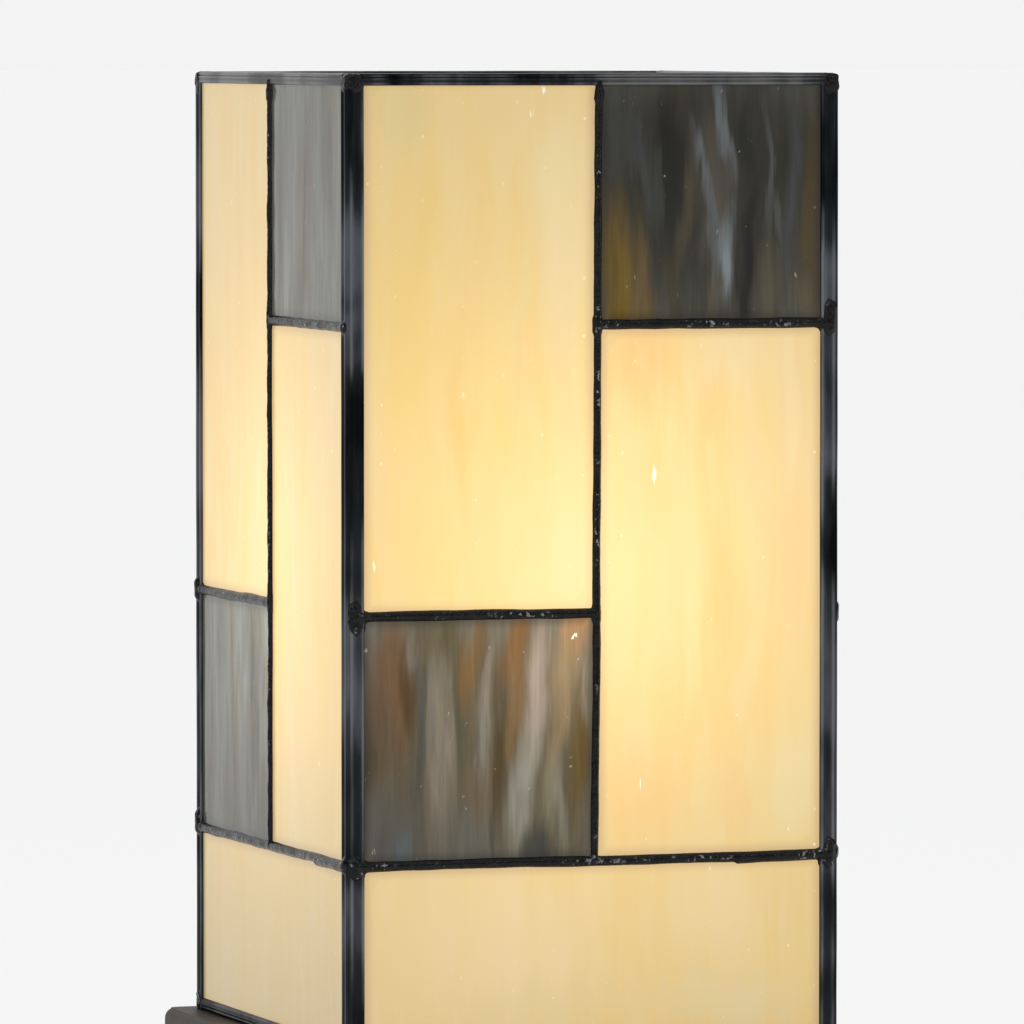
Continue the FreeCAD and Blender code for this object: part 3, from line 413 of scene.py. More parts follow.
# Streaks that show in the two front smoky panes, laid on the sheet one over the other.
SMOKE_STREAKS = [
    # Upper pane: a dark olive ground, with amber at its lower left and dark smoke beside it.
    (29, 237, 80, 80, 0, (0.040, 0.036, 0.022), 1.0),
    (4, 214, 8, 34, 2, (0.21, 0.125, 0.004), 0.95),
    (11, 216, 5, 22, 3, (0.20, 0.125, 0.040), 0.8),
    (5, 254, 7, 17, 0, (0.070, 0.070, 0.058), 0.85),
    (18, 246, 5, 28, -2, (0.008, 0.007, 0.002), 0.9),
    (11.5, 243, 2.8, 17, 12, (0.085, 0.095, 0.090), 0.75),
    (15, 238, 1.6, 14, 8, (0.070, 0.078, 0.070), 0.6),
    (22.5, 236, 2.4, 26, -4, (0.115, 0.088, 0.048), 0.75),
    (20, 216, 4, 14, 0, (0.065, 0.050, 0.018), 0.7),
    # Its pale wisps, which run down into one blue-grey tongue.
    (30, 238, 7, 26, 3, (0.150, 0.130, 0.100), 0.85),
    (32.5, 256, 2.4, 19, 6, (0.24, 0.265, 0.285), 0.95),
    (26.5, 243, 2.0, 15, 10, (0.20, 0.225, 0.240), 0.8),
    (30, 229, 2.0, 12, 14, (0.18, 0.20, 0.210), 0.7),
    (33.5, 223, 3.4, 15, -1, (0.33, 0.385, 0.410), 0.95),
    (31, 212, 2.6, 8, 0, (0.15, 0.120, 0.075), 0.7),
    # Its right side: near black, then thin grey wisps, then brown.
    (39.5, 222, 2.6, 28, 0, (0.006, 0.004, 0.000), 0.95),
    (37, 250, 2.6, 14, 0, (0.020, 0.020, 0.014), 0.8),
    (43.2, 244, 1.5, 22, 4, (0.14, 0.155, 0.155), 0.8),
    (46.5, 232, 1.6, 12, 14, (0.13, 0.140, 0.140), 0.7),
    (50.5, 240, 3.5, 30, 0, (0.100, 0.108, 0.112), 0.7),
    (45, 215, 5, 15, 0, (0.13, 0.115, 0.070), 0.8),
    (56.5, 232, 4, 38, 0, (0.115, 0.075, 0.018), 0.9),
    (54, 213, 4, 10, 0, (0.17, 0.120, 0.060), 0.7),
    # Lower pane: an olive brown ground, with rust and brown at its left.
    (-29, 107, 80, 80, 0, (0.155, 0.120, 0.062), 1.0),
    (-51, 122, 10, 24, -4, (0.205, 0.105, 0.040), 0.95),
    (-54, 104, 2.4, 18, 4, (0.17, 0.105, 0.045), 0.7),
    (-48.3, 120, 2.8, 17, -3, (0.11, 0.052, 0.006), 0.9),
    (-57, 96, 3.6, 24, 0, (0.075, 0.052, 0.012), 0.95),
    (-45, 112, 3.0, 26, -2, (0.10, 0.098, 0.075), 0.95),
    (-45.5, 131, 2.0, 9, 0, (0.26, 0.230, 0.180), 0.7),
    # Its left middle: a broad mushroom grey band between two dark ones.
    (-38.5, 104, 5.4, 32, -2, (0.32, 0.265, 0.195), 0.95),
    (-41, 118, 2.0, 16, -6, (0.26, 0.235, 0.190), 0.8),
    (-36, 130, 6, 9, 0, (0.13, 0.098, 0.040), 0.85),
    (-33, 114, 2.6, 20, 0, (0.11, 0.095, 0.045), 0.9),
    # Its middle: amber above, grey wisps and a dark root below.
    (-29.5, 126, 3.8, 13, -8, (0.235, 0.120, 0.028), 0.9),
    (-25.5, 120, 2.0, 18, -8, (0.30, 0.235, 0.170), 0.85),
    (-27, 106, 2.6, 15, -10, (0.30, 0.275, 0.215), 0.85),
    (-21.5, 122, 1.6, 16, -8, (0.11, 0.080, 0.045), 0.85),
    (-24.2, 102, 3.0, 20, -8, (0.100, 0.060, 0.008), 0.95),
    (-30, 92, 4, 14, -8, (0.21, 0.150, 0.080), 0.8),
    # Its right side: a rust streak, a long pale one that leans over it, then amber and olive.
    (-18.5, 132, 4.0, 18, -8, (0.255, 0.115, 0.030), 0.9),
    (-20, 116, 2.4, 20, -8, (0.27, 0.150, 0.050), 0.9),
    (-15.5, 118, 3.4, 26, -9, (0.42, 0.320, 0.245), 0.95),
    (-19.5, 94, 4.2, 24, -9, (0.42, 0.395, 0.315), 0.95),
    (-12.5, 96, 3.4, 18, -7, (0.26, 0.225, 0.130), 0.85),
    (-9, 119, 5.0, 24, -10, (0.36, 0.245, 0.120), 0.9),
    (-5, 136, 6, 13, 0, (0.46, 0.235, 0.090), 0.9),
    (-3, 122, 2, 16, 0, (0.36, 0.270, 0.180), 0.8),
    (-4, 103, 3.6, 22, 2, (0.15, 0.088, 0.008), 0.95),
    (-9, 90, 3.4, 17, 2, (0.32, 0.285, 0.200), 0.85),
    # Its foot: slate, a bluish patch and a small dark arch.
    (-50, 84, 10, 17, 4, (0.15, 0.145, 0.122), 0.9),
    (-33, 82, 10, 13, 0, (0.18, 0.172, 0.140), 0.8),
    (-27, 84, 1.4, 10, -3, (0.08, 0.070, 0.045), 0.8),
    (-47, 81, 2.6, 7, 0, (0.15, 0.185, 0.205), 0.8),
    (-16.5, 79, 6.5, 12, 0, (0.066, 0.060, 0.046), 1.0),
    (-17, 78, 5.4, 10.5, 0, (0.070, 0.064, 0.050), 1.0),
    # One bright seed.
    (-6.5, 130.5, 0.5, 0.6, 0, (1.3, 1.15, 0.9), 1.0),
]


def dark_glass():
    """Smoky glass: slate and bluish wisps near the surface, over amber and brown that only lights up."""
    made, tree, shader = new_material("dark_glass", {"IOR": 1.42})
    sheet = node(tree, "Attribute", attribute_name="sheet").outputs["Vector"]
    drift = cloud(tree, stretched(tree, sheet, 60, 10), 4, 1.0)
    smoke = cloud(tree, stretched(tree, sheet, 190, 24), 4, 0.8)
    streak = math_node(tree, "MULTIPLY_ADD", smoke, 0.4, math_node(tree, "MULTIPLY", drift, 0.6))
    look = ramp(
        tree,
        streak,
        (0.36, (0.110, 0.100, 0.060)),
        (0.44, (0.210, 0.185, 0.120)),
        (0.50, (0.270, 0.265, 0.215)),
        (0.57, (0.340, 0.345, 0.300)),
        (0.66, (0.430, 0.450, 0.425)),
    )
    warm = steps(tree, cloud(tree, stretched(tree, sheet, 80, 12), 3, 0.9), 0.54, 0.68)
    look = mix(tree, math_node(tree, "MULTIPLY", warm, 0.4), look, (0.34, 0.22, 0.09, 1))
    look = streaked(tree, wavering(tree, sheet), look, SMOKE_STREAKS)
    fibre = cloud(tree, stretched(tree, sheet, 400, 36), 4, 0.9, 0.55)
    limits = {"Value": fibre, "From Min": 0.3, "From Max": 0.7, "To Min": 0.80, "To Max": 1.20}
    veil = node(tree, "MapRange", limits)
    look = mix(tree, 1, look, veil.outputs["Result"], "MULTIPLY")
    # Painted shadow of the beads along the seams, darkening the glass close under them.
    rim = math_node(tree, "MULTIPLY", edge_shade(tree), 0.5)
    look = mix(tree, rim, look, (0.02, 0.016, 0.010, 1))
    bubbles = seeds(tree, wavering(tree, sheet), 360, 250, 0.11, 0.90)
    look = mix(tree, math_node(tree, "MULTIPLY", bubbles, 0.6), look, (0.75, 0.68, 0.52, 1))
    tree.links.new(mix(tree, 1, look, (0.33, 0.325, 0.30, 1), "MULTIPLY"), shader.inputs["Base Color"])
    light = math_node(tree, "MULTIPLY", math_node(tree, "POWER", glow_through(tree), 3.0), 1.05)
    tree.links.new(mix(tree, 1, look, light, "MULTIPLY"), shader.inputs["Emission Color"])
    shader.inputs["Emission Strength"].default_value = 1.0
    dull = node(tree, "MapRange", {"Value": smoke, "To Min": 0.06, "To Max": 0.17}).outputs["Result"]
    tree.links.new(dull, shader.inputs["Roughness"])
    return made


glasses = {"cream": cream_glass(), "dark": dark_glass()}
for side in SIDES:
    for pane in PANES:
        kind = "dark" if "dark" in pane else "cream"
        glass_pane(side, pane, glasses[kind])

# ================================================================ solder seams
# Copper foil is folded over the edges of neighbouring panes, and the foils are tinned and joined by a
# bead of solder run along each side by hand. It swells, wanders and piles up where it was restarted and
# where it meets a corner, and a black patina with wax over it gives it a wet shine.

half_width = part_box("front_right_corner_came")[1].x
leg = half_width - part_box("front_top_rail")[1].x
foot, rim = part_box("front_left_corner_came")[0].z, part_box("front_left_corner_came")[1].z
glass_out, glass_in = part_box("front_upper_cream_pane")[0].y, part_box("front_upper_cream_pane")[1].y
came_proud = half_width + glass_out  # how far the cames stand off the glass
seam_end = half_width - leg
HALF_UPRIGHT, HALF_LEVEL = 1.0 * MM, 1.22 * MM  # half the width of each kind of seam
CROWN = 0.95 * MM  # how far a bead stands off the glass
INNER_CROWN = 0.7 * CROWN  # and inside the shade
SUNK = -0.4 * MM  # how far the skin runs down below the face of the glass
MELT = 0.7 * MM  # how softly two runs flow into each other
OUTER_GRAIN, INNER_GRAIN = 0.3 * MM, 0.5 * MM  # the distance between points of the skin


def seam_level(below, above):
    """The height halfway between two panes, one below the other."""
    return (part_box(f"front_{below}")[1].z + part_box(f"front_{above}")[0].z) / 2


upper_seam = seam_level("lower_cream_pane", "upper_dark_pane")
middle_seam = seam_level("lower_dark_pane", "upper_cream_pane")
lower_seam = seam_level("bottom_cream_pane", "lower_dark_pane")


def unevenness(seed, place, wave):
    """Smooth chance from -1 to 1 that changes over about one wave length."""
    return noise.noise(Vector((place / wave, seed * 7.31, seed * 3.17))) * 1.6


def flow_together(first, second, softness):
    """The higher of two levels, with the step between them filled like liquid."""
    share = max(0, min(1, 0.5 + 0.5 * (first - second) / softness))
    return second + (first - second) * share + softness * share * (1 - share)


def solder_skin(runs, grain, seed):
    """The heights above the glass, by grid place, of solder runs that melt together. Each run is a start
    and an end (x, z), half its width, how high it crowns, and what height it lies on."""
    heights = {}
    for number, (start, end, half, crown, base) in enumerate(runs):
        start, end = Vector(start), Vector(end)
        length = max((end - start).length, 0.01 * MM)
        along = (end - start) / length
        reach = half * math.sqrt(1.3 * (1 + (base - SUNK + MELT) / crown)) + grain
        left, right = min(start.x, end.x) - reach, max(start.x, end.x) + reach
        low, high = min(start.y, end.y) - reach, max(start.y, end.y) + reach
        mark = seed + number * 3.7
        for i in range(math.floor(left / grain), math.ceil(right / grain) + 1):
            for j in range(math.floor(low / grain), math.ceil(high / grain) + 1):
                x, z = i * grain - start.x, j * grain - start.y
                run = x * along.x + z * along.y
                across = z * along.x - x * along.y + 0.20 * MM * unevenness(mark, run, 27 * MM)
                beyond = max(-run, run - length, 0)
                wide = half * (1 + 0.09 * unevenness(mark + 1, run, 7.5 * MM))
                tall = crown * (1 + 0.15 * unevenness(mark + 2, run, 4.5 * MM))
                away = (across * across + beyond * beyond) / (wide * wide)
                if base > 0 and away < 1:  # solder that has run out over the came thins towards its edge
                    away = 1 - (1 - away) ** 2
                level = base + tall * (1 - away**1.3)
                known = heights.get((i, j))
                heights[i, j] = level if known is None else flow_together(known, level, MELT)
    for (i, j), level in heights.items():
        place = Vector((i * grain / (0.9 * MM), j * grain / (0.9 * MM), seed))
        heights[i, j] = max(SUNK, level + 0.06 * MM * noise.noise(place))
    return heights


def skin_mesh(heights, grain, glass, outwards):
    """Points, faces and crowns of a skin of solder over a face of glass. A crown is the skin's height as a
    share of a full bead's."""
    cells = []
    for i, j in heights:
        around = [heights.get(place, SUNK) for place in ((i, j), (i + 1, j), (i + 1, j + 1), (i, j + 1))]
        if max(around) > SUNK and max(abs(i), abs(i + 1)) * grain < half_width - 0.3 * MM:
            cells.append((i, j))
    numbers, points, faces, crowns = {}, [], [], []
    for i, j in cells:
        corners = []
        for place in ((i, j), (i + 1, j), (i + 1, j + 1), (i, j + 1)):
            if place not in numbers:
                level = heights.get(place, SUNK)
                numbers[place] = len(points)
                points.append((place[0] * grain, glass + outwards * level, place[1] * grain))
                crowns.append(level / CROWN)
            corners.append(numbers[place])
        faces.append(tuple(corners if outwards < 0 else reversed(corners)))
    return points, faces, crowns


def black_patina():
    """Solder under a black patina: nearly black and glossy, with grey flecks on the crowns of the beads,
    partly metal where the patina has rubbed off and partly painted glints."""
    made, tree, shader = new_material("black_patina", {"IOR": 1.3})
    place = node(tree, "TexCoord").outputs["Object"]
    blotch = cloud(tree, stretched(tree, place, 420, 420, 420), 4)
    colour = ramp(tree, blotch, (0.35, (0.001, 0.001, 0.001)), (0.72, (0.009, 0.009, 0.009)))
    crown = node(tree, "Attribute", attribute_name="crown").outputs["Fac"]
    # The grey flecks on the crowns are rubbed patina and painted glints in one.
    fleck = steps(tree, cloud(tree, stretched(tree, place, 950, 950, 950), 3), 0.57, 0.66)
    patch = steps(tree, cloud(tree, stretched(tree, place, 70, 70, 70), 2), 0.44, 0.60)
    high = math_node(tree, "SUBTRACT", steps(tree, crown, 0.5, 0.95), steps(tree, crown, 1.1, 1.6))
    wear_and_highlight = math_node(tree, "MULTIPLY", math_node(tree, "MULTIPLY", fleck, patch), high)
    colour = mix(tree, wear_and_highlight, colour, (0.24, 0.24, 0.25, 1))
    tree.links.new(colour, shader.inputs["Base Color"])
    dull = node(tree, "MapRange", {"Value": blotch, "To Min": 0.40, "To Max": 0.10}).outputs["Result"]
    tree.links.new(dull, shader.inputs["Roughness"])
    pits = cloud(tree, stretched(tree, place, 1300, 1300, 1300), 3)
    bump = node(tree, "Bump", {"Height": pits, "Strength": 0.5, "Distance": 0.0003})
    tree.links.new(bump.outputs["Normal"], shader.inputs["Normal"])
    return made


patina = black_patina()

# How far the solder runs up and down the corner came at the end of a level seam.
RUN_UPS = {
    ("front", "upper_right"): (5.0, 2.2),
    ("front", "middle_left"): (3.4, 3.4),
    ("front", "lower_left"): (2.0, 2.8),
    ("front", "lower_right"): (3.4, 2.8),
    ("left", "upper_right"): (1.4, 1.2),
    ("left", "lower_right"): (1.8, 1.4),
}


def solder_seams(side, number):
    """The soldered seams of one face, inside and outside, as one piece."""
    chance = random.Random(number)
    foot_x, top_x = seam_line(side, lower_seam), seam_line(side, rim)
    levels = {
        "upper": (upper_seam, seam_line(side, upper_seam), seam_end),
        "middle": (middle_seam, -seam_end, seam_line(side, middle_seam)),
        "lower": (lower_seam, -seam_end, seam_end),
    }
    outer = [((foot_x, lower_seam), (top_x, rim - 2.4 * MM), HALF_UPRIGHT, CROWN, 0)]
    inner = [((foot_x, lower_seam), (top_x, rim - 2.6 * MM), HALF_UPRIGHT, INNER_CROWN, 0)]
    for level, (height, left, right) in levels.items():
        outer.append(((left, height), (right, height), HALF_LEVEL, CROWN, 0))
        inner.append(((left, height), (right, height), HALF_LEVEL, INNER_CROWN, 0))
        for end, edge in (("left", left), ("right", right)):
            if abs(edge) < seam_end:
                outer.append(((edge, height - 1.4 * MM), (edge, height + 1.4 * MM), 1.25 * MM, CROWN, 0))
                continue
            outwards = math.copysign(1, edge)
            spread = RUN_UPS.get((side, f"{level}_{end}"))
            up, down = spread or (chance.uniform(1.5, 4.5), chance.uniform(1.2, 3.6))
            # Solder that has run up and down the middle of the came, and the short neck that leads to it.
            on_came = edge + outwards * 2.1 * MM
            top = (on_came + outwards * 0.4 * MM, height + (up - 1.2) * MM)
            bottom = (on_came, height - (down - 1.2) * MM)
            outer.append((top, bottom, 2.2 * MM, 1.05 * MM, came_proud - 0.32 * MM))
            outer.append(((edge, height), (on_came, height), 1.55 * MM, 1.0 * MM, 0.1 * MM))
            inner.append(((edge, height - 1.5 * MM), (edge, height + 1.5 * MM), 2 * MM, 0.9 * MM, 0.3 * MM))
    # The lower seam was finished from the right, and its last stretch laps over the first one.
    outer.append(((37 * MM, lower_seam - 0.55 * MM), (seam_end, lower_seam - 0.2 * MM), 1.3 * MM, CROWN, 0))
    # A drop of solder sits near the top of the upright seam.
    outer.append(((top_x, rim - 6.2 * MM), (top_x + 0.2 * MM, rim - 4.6 * MM), 1.3 * MM, 1.15 * CROWN, 0))
    outside = skin_mesh(solder_skin(outer, OUTER_GRAIN, number), OUTER_GRAIN, glass_out, -1)
    inside = skin_mesh(solder_skin(inner, INNER_GRAIN, number + 50), INNER_GRAIN, glass_in, 1)
    points = [quarter_turns(p, SIDES[side]) for p in outside[0] + inside[0]]
    faces = outside[1] + [tuple(i + len(outside[0]) for i in face) for face in inside[1]]
    name = f"{side}_solder_seams"
    piece = new_piece(name, points, faces, patina, "shade", [name], crisp=180)
    wear_and_highlight = piece.data.attributes.new("crown", "FLOAT", "POINT")
    wear_and_highlight.data.foreach_set("value", outside[2] + inside[2])


for number, side in enumerate(SIDES):
    solder_seams(side, 11 * (number + 1))

# ================================================================ corner cames
# Lead-alloy came with two channels at right angles holds the edges of neighbouring faces. It is drawn with
# a soft ridge near the corner, a shallow hollow and a rolled lip pressed down on the glass, and patinated.


def hollow(share, depth):
    """How far a shallow round hollow dips, for a share of the way across it from 0 to 1."""
    return depth * math.sin(math.pi * min(max(share, 0), 1)) ** 2


def came_profile():
    """The outline of the front left came seen from above: outer relief, then the channels behind it."""
    corner, lip = 0.95 * MM, 0.55 * MM
    hollow_start, hollow_width, hollow_depth = 1.5 * MM, 2.3 * MM, 0.30 * MM
    outer = []
    for step in range(5):  # from the corner's middle round to the front face
        angle = math.radians(45 + 45 * step / 4)
        outer.append((corner - corner * math.cos(angle), corner - corner * math.sin(angle)))
    for step in range(1, 13):
        along = corner + (leg - lip - corner) * step / 12
        outer.append((along, hollow((along - hollow_start) / hollow_width, hollow_depth)))
    for step in range(1, 5):
        angle = math.radians(90 * step / 4)
        outer.append((leg - lip + lip * math.sin(angle), came_proud * (1 - math.cos(angle))))
    front = [(-half_width + along, -half_width + depth) for along, depth in outer]
    glass_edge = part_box("front_upper_cream_pane")[0].x
    front += [(glass_edge, glass_out), (glass_edge, glass_in), (-seam_end, glass_in)]
    back = [(y, x) for x, y in reversed(front[1:])]
    return front + [(-seam_end, -seam_end)] + back


def swept(outline, places):
    """Points and faces of an outline repeated at each place, a function of (u, v) to a point."""
    points = [place(u, v) for place in places for u, v in outline]
    faces, size = [], len(outline)
    for station in range(len(places) - 1):
        for index in range(size):
            a, b = station * size + index, station * size + (index + 1) % size
            faces.append((a, b, b + size, a + size))
    faces.append(tuple(range(size)))
    faces.append(tuple((len(places) - 1) * size + index for index in range(size)))
    return points, faces


def ridge(place, middle, reach):
    """1 on the line of a ridge, and 0 from its reach on."""
    return max(0, 1 - abs(place - middle) / reach)


def rub(piece, outline_rub_and_highlight, copies):
    """Keeps, as 'rubbed', how much each point of a swept piece is rubbed off and painted bright as a
    highlight.
    """
    rubbed = piece.data.attributes.new("rubbed", "FLOAT", "POINT")
    rubbed.data.foreach_set("value", outline_rub_and_highlight * copies)


def patinated_came(name, rubbed, glance):
    """Came under the same patina, waxed: blue-black, with patches of the rubbed colour, and ridges painted
    bright, part rubbed metal and part painted highlight. A glance below 1 keeps its edge-on shine down."""
    plain = {"Metallic": 1.0, "Specular Tint": (glance, glance, glance, 1)}
    made, tree, shader = new_material(name, plain)
    place = node(tree, "TexCoord").outputs["Object"]
    patch = cloud(tree, stretched(tree, place, 40, 40, 24), 2, 0.4)
    fine = cloud(tree, stretched(tree, place, 330, 330, 60), 3)
    mottle = math_node(tree, "MULTIPLY_ADD", fine, 0.18, math_node(tree, "MULTIPLY", patch, 0.82))
    deep, middling = (0.006, 0.007, 0.008), (0.026, 0.030, 0.034)
    colour = ramp(tree, mottle, (0.38, deep), (0.50, middling), (0.62, rubbed))
    # The ridges are painted brighter: rubbed metal and a painted highlight along them.
    bright = node(tree, "Attribute", attribute_name="rubbed").outputs["Fac"]
    wear_and_highlight = math_node(tree, "MULTIPLY", bright, steps(tree, mottle, 0.40, 0.56))
    colour = mix(tree, math_node(tree, "MULTIPLY", wear_and_highlight, 0.85), colour, (0.24, 0.24, 0.25, 1))
    tree.links.new(colour, shader.inputs["Base Color"])
    dull = node(tree, "MapRange", {"Value": fine, "To Min": 0.22, "To Max": 0.42}).outputs["Result"]
    tree.links.new(dull, shader.inputs["Roughness"])
    bump = node(tree, "Bump", {"Height": fine, "Strength": 0.15, "Distance": 0.0002})
    tree.links.new(bump.outputs["Normal"], shader.inputs["Normal"])
    return made


came = patinated_came("patinated_came", (0.11, 0.115, 0.135), 0.62)
CORNERS = ("front_left", "front_right", "back_right", "back_left")
came_outline = came_profile()
came_rub_and_highlight = []
for u, v in came_outline:  # the ridge near the corner and the lip on the glass are painted brightest: rubbed and a painted highlight
    along, depth = max(u, v) + half_width, min(u, v) + half_width
    line = max(ridge(along, 1.3 * MM, 0.55 * MM), ridge(along, leg - 0.5 * MM, 0.5 * MM))
    came_rub_and_highlight.append(line if depth < 0.4 * MM else 0)
came_stations = [foot + (rim - 2.2 * MM - foot) * step / 90 for step in range(91)]
for turns, corner in enumerate(CORNERS):
    places = []
    for height in came_stations:
        sway = 0.07 * MM * (1 + unevenness(turns + 40, height, 22 * MM) * 0.6)
        places.append(lambda u, v, z=height, s=sway: quarter_turns((u + s, v + s, z), turns))
    points, faces = swept(came_outline, places)
    name = f"{corner}_corner_came"
    piece = new_piece(name, points, faces, came, "shade", [name], crisp=40)
    rub(piece, came_rub_and_highlight, len(places))

# ================================================================ top and bottom rails
# The same metal folded to a U caps the panes' top and bottom edges between the corner cames. Its outer
# face is flat, with a fine rolled ridge near the fold.

# The rail's outline in millimetres: how far in from its outer face, and how far from its fold.
RAIL_OUTLINE = [
    (0.70, 3.00), (0.28, 2.97), (0.08, 2.80), (0.02, 2.50), (0.06, 2.05), (0.03, 1.65), (0.00, 1.42),
    (0.05, 1.28), (0.24, 1.14), (0.26, 1.00), (0.12, 0.88), (0.08, 0.72), (0.16, 0.48), (0.38, 0.24),
    (0.75, 0.10), (1.30, 0.05), (2.20, 0.10), (3.10, 0.05), (3.65, 0.10), (4.05, 0.28), (4.28, 0.55),
    (4.36, 1.00), (4.32, 2.20), (4.40, 2.80), (4.30, 3.00), (3.70, 3.00), (3.70, 0.70), (0.70, 0.70),
]
RAIL_RIDGES = (1.4, 0.7, 2.6)  # how far each ridge on the outer face is from the fold
# The ridges of the rails are painted brighter too: rubbed metal and a painted highlight.
rail_rub_and_highlight = []
for u, v in RAIL_OUTLINE:
    line = max(ridge(v, middle, 0.3) for middle in RAIL_RIDGES)
    rail_rub_and_highlight.append(line if u < 0.3 else 0)
rails = {"top": patinated_came("patinated_rail", (0.12, 0.12, 0.115), 1.0), "bottom": came}
rail_stations = [(seam_end + 0.9 * MM) * (step / 40 - 1) for step in range(81)]
for side, turns in SIDES.items():
    for end, fold, inwards in (("top", rim, -1), ("bottom", foot, 1)):
        places = []
        for x in rail_stations:
            dip = 0.06 * MM * (1 + unevenness(turns * 3 + fold * 90, x, 17 * MM) * 0.6)
            places.append(
                lambda u, v, x=x, d=dip: quarter_turns(
                    (x, -half_width + u * MM + d, fold + inwards * (v * MM + d)), turns
                )
            )
        points, faces = swept(RAIL_OUTLINE, places)
        name = f"{side}_{end}_rail"
        piece = new_piece(name, points, faces, rails[end], "shade", [name], crisp=40)
        rub(piece, rail_rub_and_highlight, len(places))

# ================================================================ solder at the corners
# A knob of solder joins each corner came to the two rails that meet it, top and bottom. It was left
# proud and rounded, with short tongues along the rails and down the came.


KNOB = 2.35 * MM  # half the size of a knob without its tongues
KNOB_INSET = 2.2 * MM  # how far its middle lies in from both faces
KNOB_DEPTH = 2.45 * MM  # and in from the rim or the foot


def corner_knob(corner, end, turns, seed):
    """One knob of solder: a rounded block that swells along the three pieces of came it joins."""
    ball = bmesh.new()
    bmesh.ops.create_icosphere(ball, subdivisions=5, radius=1)
    chance = random.Random(seed)
    tongues = [
        (Vector((1, 0.15, 0)), chance.uniform(1.2, 2.2) * MM),
        (Vector((0.15, 1, 0)), chance.uniform(0.8, 2.0) * MM),
        (Vector((-0.1, -0.1, -1)), chance.uniform(1.4, 2.8) * MM),
    ]
    tip = rim - 0.05 * MM if end == "top" else foot + 0.05 * MM
    inwards = -1 if end == "top" else 1
    points = []
    for vertex in ball.verts:
        way = vertex.co.normalized()
        block = (abs(way.x) ** 4 + abs(way.y) ** 4 + abs(way.z) ** 4) ** -0.25
        size = KNOB * block
        for towards, length in tongues:
            size += length * max(0, way.dot(towards.normalized())) ** 9
        size *= 1 + 0.09 * noise.noise(way * 2.3 + Vector((seed, 0, 0)))
        size *= 1 + 0.035 * noise.noise(way * 7 + Vector((seed, 3, 0)))
        x, y = -half_width + KNOB_INSET + way.x * size, -half_width + KNOB_INSET + way.y * size
        z = tip + inwards * max(0.02 * MM, KNOB_DEPTH - way.z * size)
        points.append(quarter_turns((x, y, z), turns))
    faces = [tuple(v.index for v in face.verts) for face in ball.faces]
    ball.free()
    new_piece(f"{corner}_{end}_solder", points, faces, patina, "shade", crisp=180)


for turns, corner in enumerate(CORNERS):
    for number, end in enumerate(("top", "bottom")):
        corner_knob(corner, end, turns, 5 * turns + number + 2)

# ================================================================ moulded base
# The base is cast in resin round a wooden core and finished in bronze-brown lacquer, rubbed back along
# its edges. It stands on four rubber feet, and a plate screwed underneath covers the wiring.


def dress(material, *names):
    """Gives the pieces of the frame with these names a material."""
    for name in names:
        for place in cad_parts[name].material_slots:
            place.material = material


def plain_finish(name, colour, roughness, metallic=0.0, coat=0.0, grain=300, contrast=0.25):
    """A material with a slight mottle in its colour and its shine."""
    made, tree, shader = new_material(name, {"Metallic": metallic, "Coat Weight": coat})
    place = node(tree, "TexCoord").outputs["Object"]
    mottle = cloud(tree, stretched(tree, place, grain, grain, grain), 4)
    darker = tuple(c * (1 - contrast) for c in colour)
    lighter = tuple(c * (1 + contrast) for c in colour)
    tree.links.new(ramp(tree, mottle, (0.36, darker), (0.64, lighter)), shader.inputs["Base Color"])
    limits = {"Value": mottle, "To Min": roughness * 0.8, "To Max": roughness * 1.25}
    tree.links.new(node(tree, "MapRange", limits).outputs["Result"], shader.inputs["Roughness"])
    return made


def bronzed_lacquer():
    """Bronze-brown lacquer with darker clouds, gold-brown flecks and fine brush marks."""
    plain = {"Metallic": 0.35, "Coat Weight": 0.05, "Coat Roughness": 0.3}
    made, tree, shader = new_material("bronzed_base", plain)
    place = node(tree, "TexCoord").outputs["Object"]
    broad = cloud(tree, stretched(tree, place, 30, 30, 60), 4, 0.5)
    fine = cloud(tree, stretched(tree, place, 420, 420, 420), 5)
    mottle = math_node(tree, "MULTIPLY_ADD", fine, 0.4, math_node(tree, "MULTIPLY", broad, 0.6))
    dark, bronze, light = (0.022, 0.017, 0.013), (0.050, 0.038, 0.028), (0.115, 0.085, 0.058)
    colour = ramp(tree, mottle, (0.36, dark), (0.50, bronze), (0.64, light))
    rounded = node(tree, "Bevel", {"Radius": 0.0022}, samples=6).outputs["Normal"]
    normal = node(tree, "NewGeometry").outputs["Normal"]
    flatness = node(tree, "VectorMath", {0: rounded, 1: normal}, operation="DOT_PRODUCT").outputs["Value"]
    edge = math_node(tree, "SUBTRACT", 1, steps(tree, flatness, 0.80, 0.985))
    rubbed = math_node(tree, "MULTIPLY", edge, steps(tree, mottle, 0.40, 0.60))
    colour = mix(tree, math_node(tree, "MULTIPLY", rubbed, 0.7), colour, (0.20, 0.145, 0.09, 1))
    tree.links.new(colour, shader.inputs["Base Color"])
    dull = node(tree, "MapRange", {"Value": fine, "To Min": 0.46, "To Max": 0.70}).outputs["Result"]
    tree.links.new(dull, shader.inputs["Roughness"])
    bump = node(tree, "Bump", {"Height": fine, "Strength": 0.12, "Distance": 0.0004})
    tree.links.new(bump.outputs["Normal"], shader.inputs["Normal"])
    return made


dress(bronzed_lacquer(), "base_moulding")
dress(plain_finish("black_plate", (0.02, 0.02, 0.021), 0.5, 0.3), "base_cover_plate")
dress(plain_finish("foot_rubber", (0.025, 0.024, 0.023), 0.85), "rubber_feet")
dress(plain_finish("black_bushing", (0.018, 0.018, 0.018), 0.4, coat=0.2), "cord_bushing")
zinc = plain_finish("zinc_steel", (0.55, 0.56, 0.58), 0.32, 1.0)
dress(zinc, "cover_screws", "threaded_tube", "lock_washer", "lock_nut", "lampholder_grub_screw")

# ================================================================ stem and lampholder
# A threaded steel tube clamps a brass washer to the plinth and carries the black lampholder on a brass
# sleeve. A ceramic insert inside holds the screw shell, the centre contact and the wire terminals.

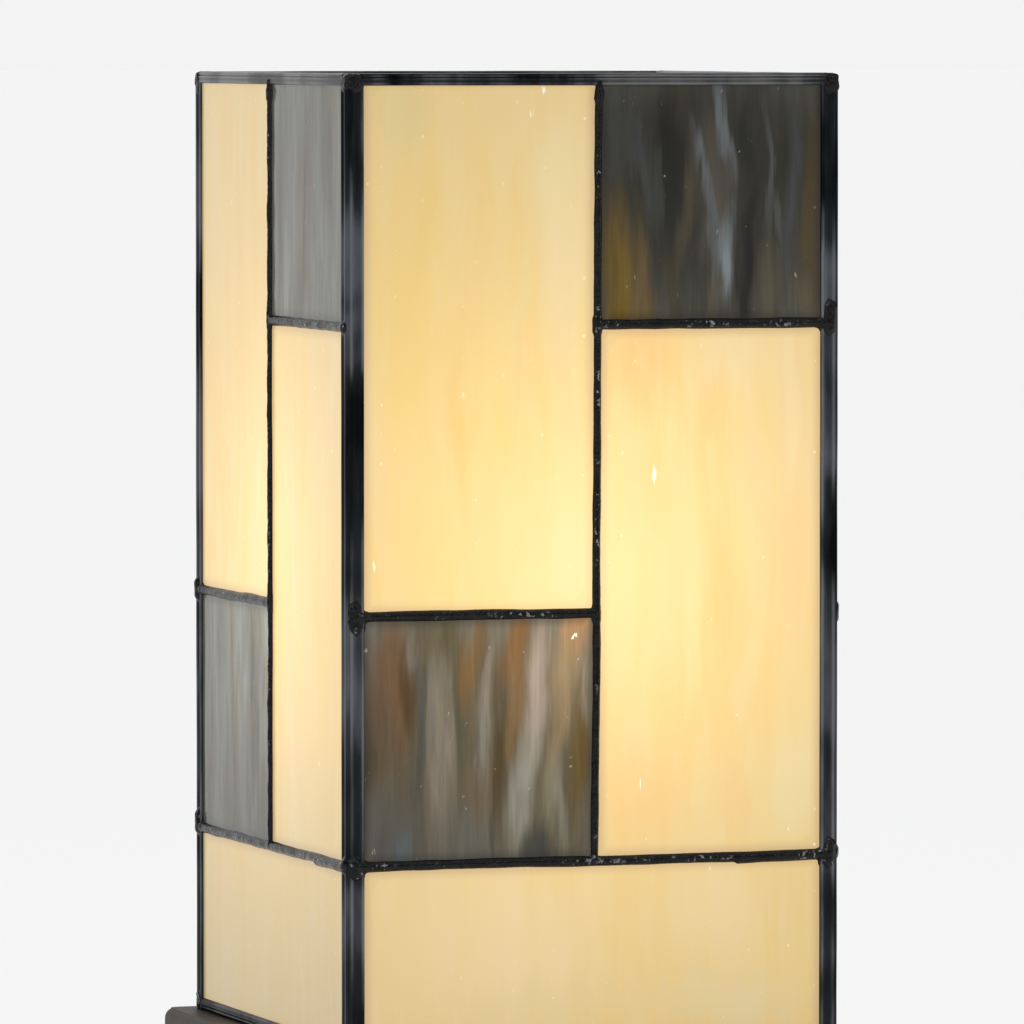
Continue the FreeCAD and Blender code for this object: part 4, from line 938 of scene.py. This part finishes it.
brass = plain_finish("antique_brass", (0.42, 0.27, 0.10), 0.30, 1.0, grain=200, contrast=0.35)
dress(brass, "spacer_sleeve", "seat_washer")
phenolic = plain_finish("black_lampholder", (0.016, 0.015, 0.015), 0.34, coat=0.3)
dress(phenolic, "lampholder_cap", "lampholder_skirt")
dress(plain_finish("holder_ceramic", (0.72, 0.69, 0.62), 0.45), "lampholder_insert")
contact = plain_finish("brass_contact", (0.62, 0.44, 0.18), 0.25, 1.0)
dress(contact, "lampholder_screw_shell", "lampholder_centre_contact", "lampholder_terminals")

# ================================================================ bulb
# A small clear E14 candle bulb screws into the lampholder. Its thin glass is fused to a glass stem that
# carries the support wires and the glowing filament, and a nickelled cap is cemented round its neck.

glass, tree, shader = new_material("bulb_glass", {"Roughness": 0.03, "Alpha": 0.16, "IOR": 1.5})
place = node(tree, "TexCoord").outputs["Object"]
mottle = cloud(tree, stretched(tree, place, 60, 60, 60))
tint = ramp(tree, mottle, (0.3, (0.050, 0.042, 0.030)), (0.7, (0.075, 0.066, 0.050)))
tree.links.new(tint, shader.inputs["Base Color"])
dress(glass, "bulb_glass", "bulb_stem")
dress(plain_finish("bulb_cap_metal", (0.72, 0.70, 0.66), 0.22, 1.0), "bulb_screw_cap")
dress(plain_finish("black_insulator", (0.01, 0.01, 0.011), 0.2, coat=0.4), "bulb_insulator")
dress(plain_finish("tip_solder", (0.50, 0.50, 0.50), 0.35, 1.0), "bulb_tip_contact")
plain = {"Metallic": 1.0, "Roughness": 0.3, "Emission Strength": 30.0}
wire, tree, shader = new_material("bulb_wire", plain)
place = node(tree, "TexCoord").outputs["Object"]
height = node(tree, "SeparateXYZ", {"Vector": place}).outputs["Z"]
filament_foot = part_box("bulb_filament")[0].z
hot = steps(tree, height, filament_foot - 0.25 * MM, filament_foot + 0.05 * MM)
tree.links.new(ramp(tree, hot, (0, (0.5, 0.48, 0.44)), (1, (1, 0.8, 0.5))), shader.inputs["Base Color"])
tree.links.new(ramp(tree, hot, (0, (0, 0, 0)), (1, (1, 0.55, 0.2))), shader.inputs["Emission Color"])
dress(wire, "bulb_support_wires", "bulb_filament")

glow = bpy.data.lights.new("bulb_glow", "POINT")
glow.energy, glow.color, glow.shadow_soft_size = 0.25, (1, 0.75, 0.45), 0.012
glow_place = bpy.data.objects.new("bulb_glow", glow)
glow_place.location = (0, 0, 0.150)
glow_place.visible_camera = False
scene.collection.objects.link(glow_place)
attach(glow_place, "bulb")
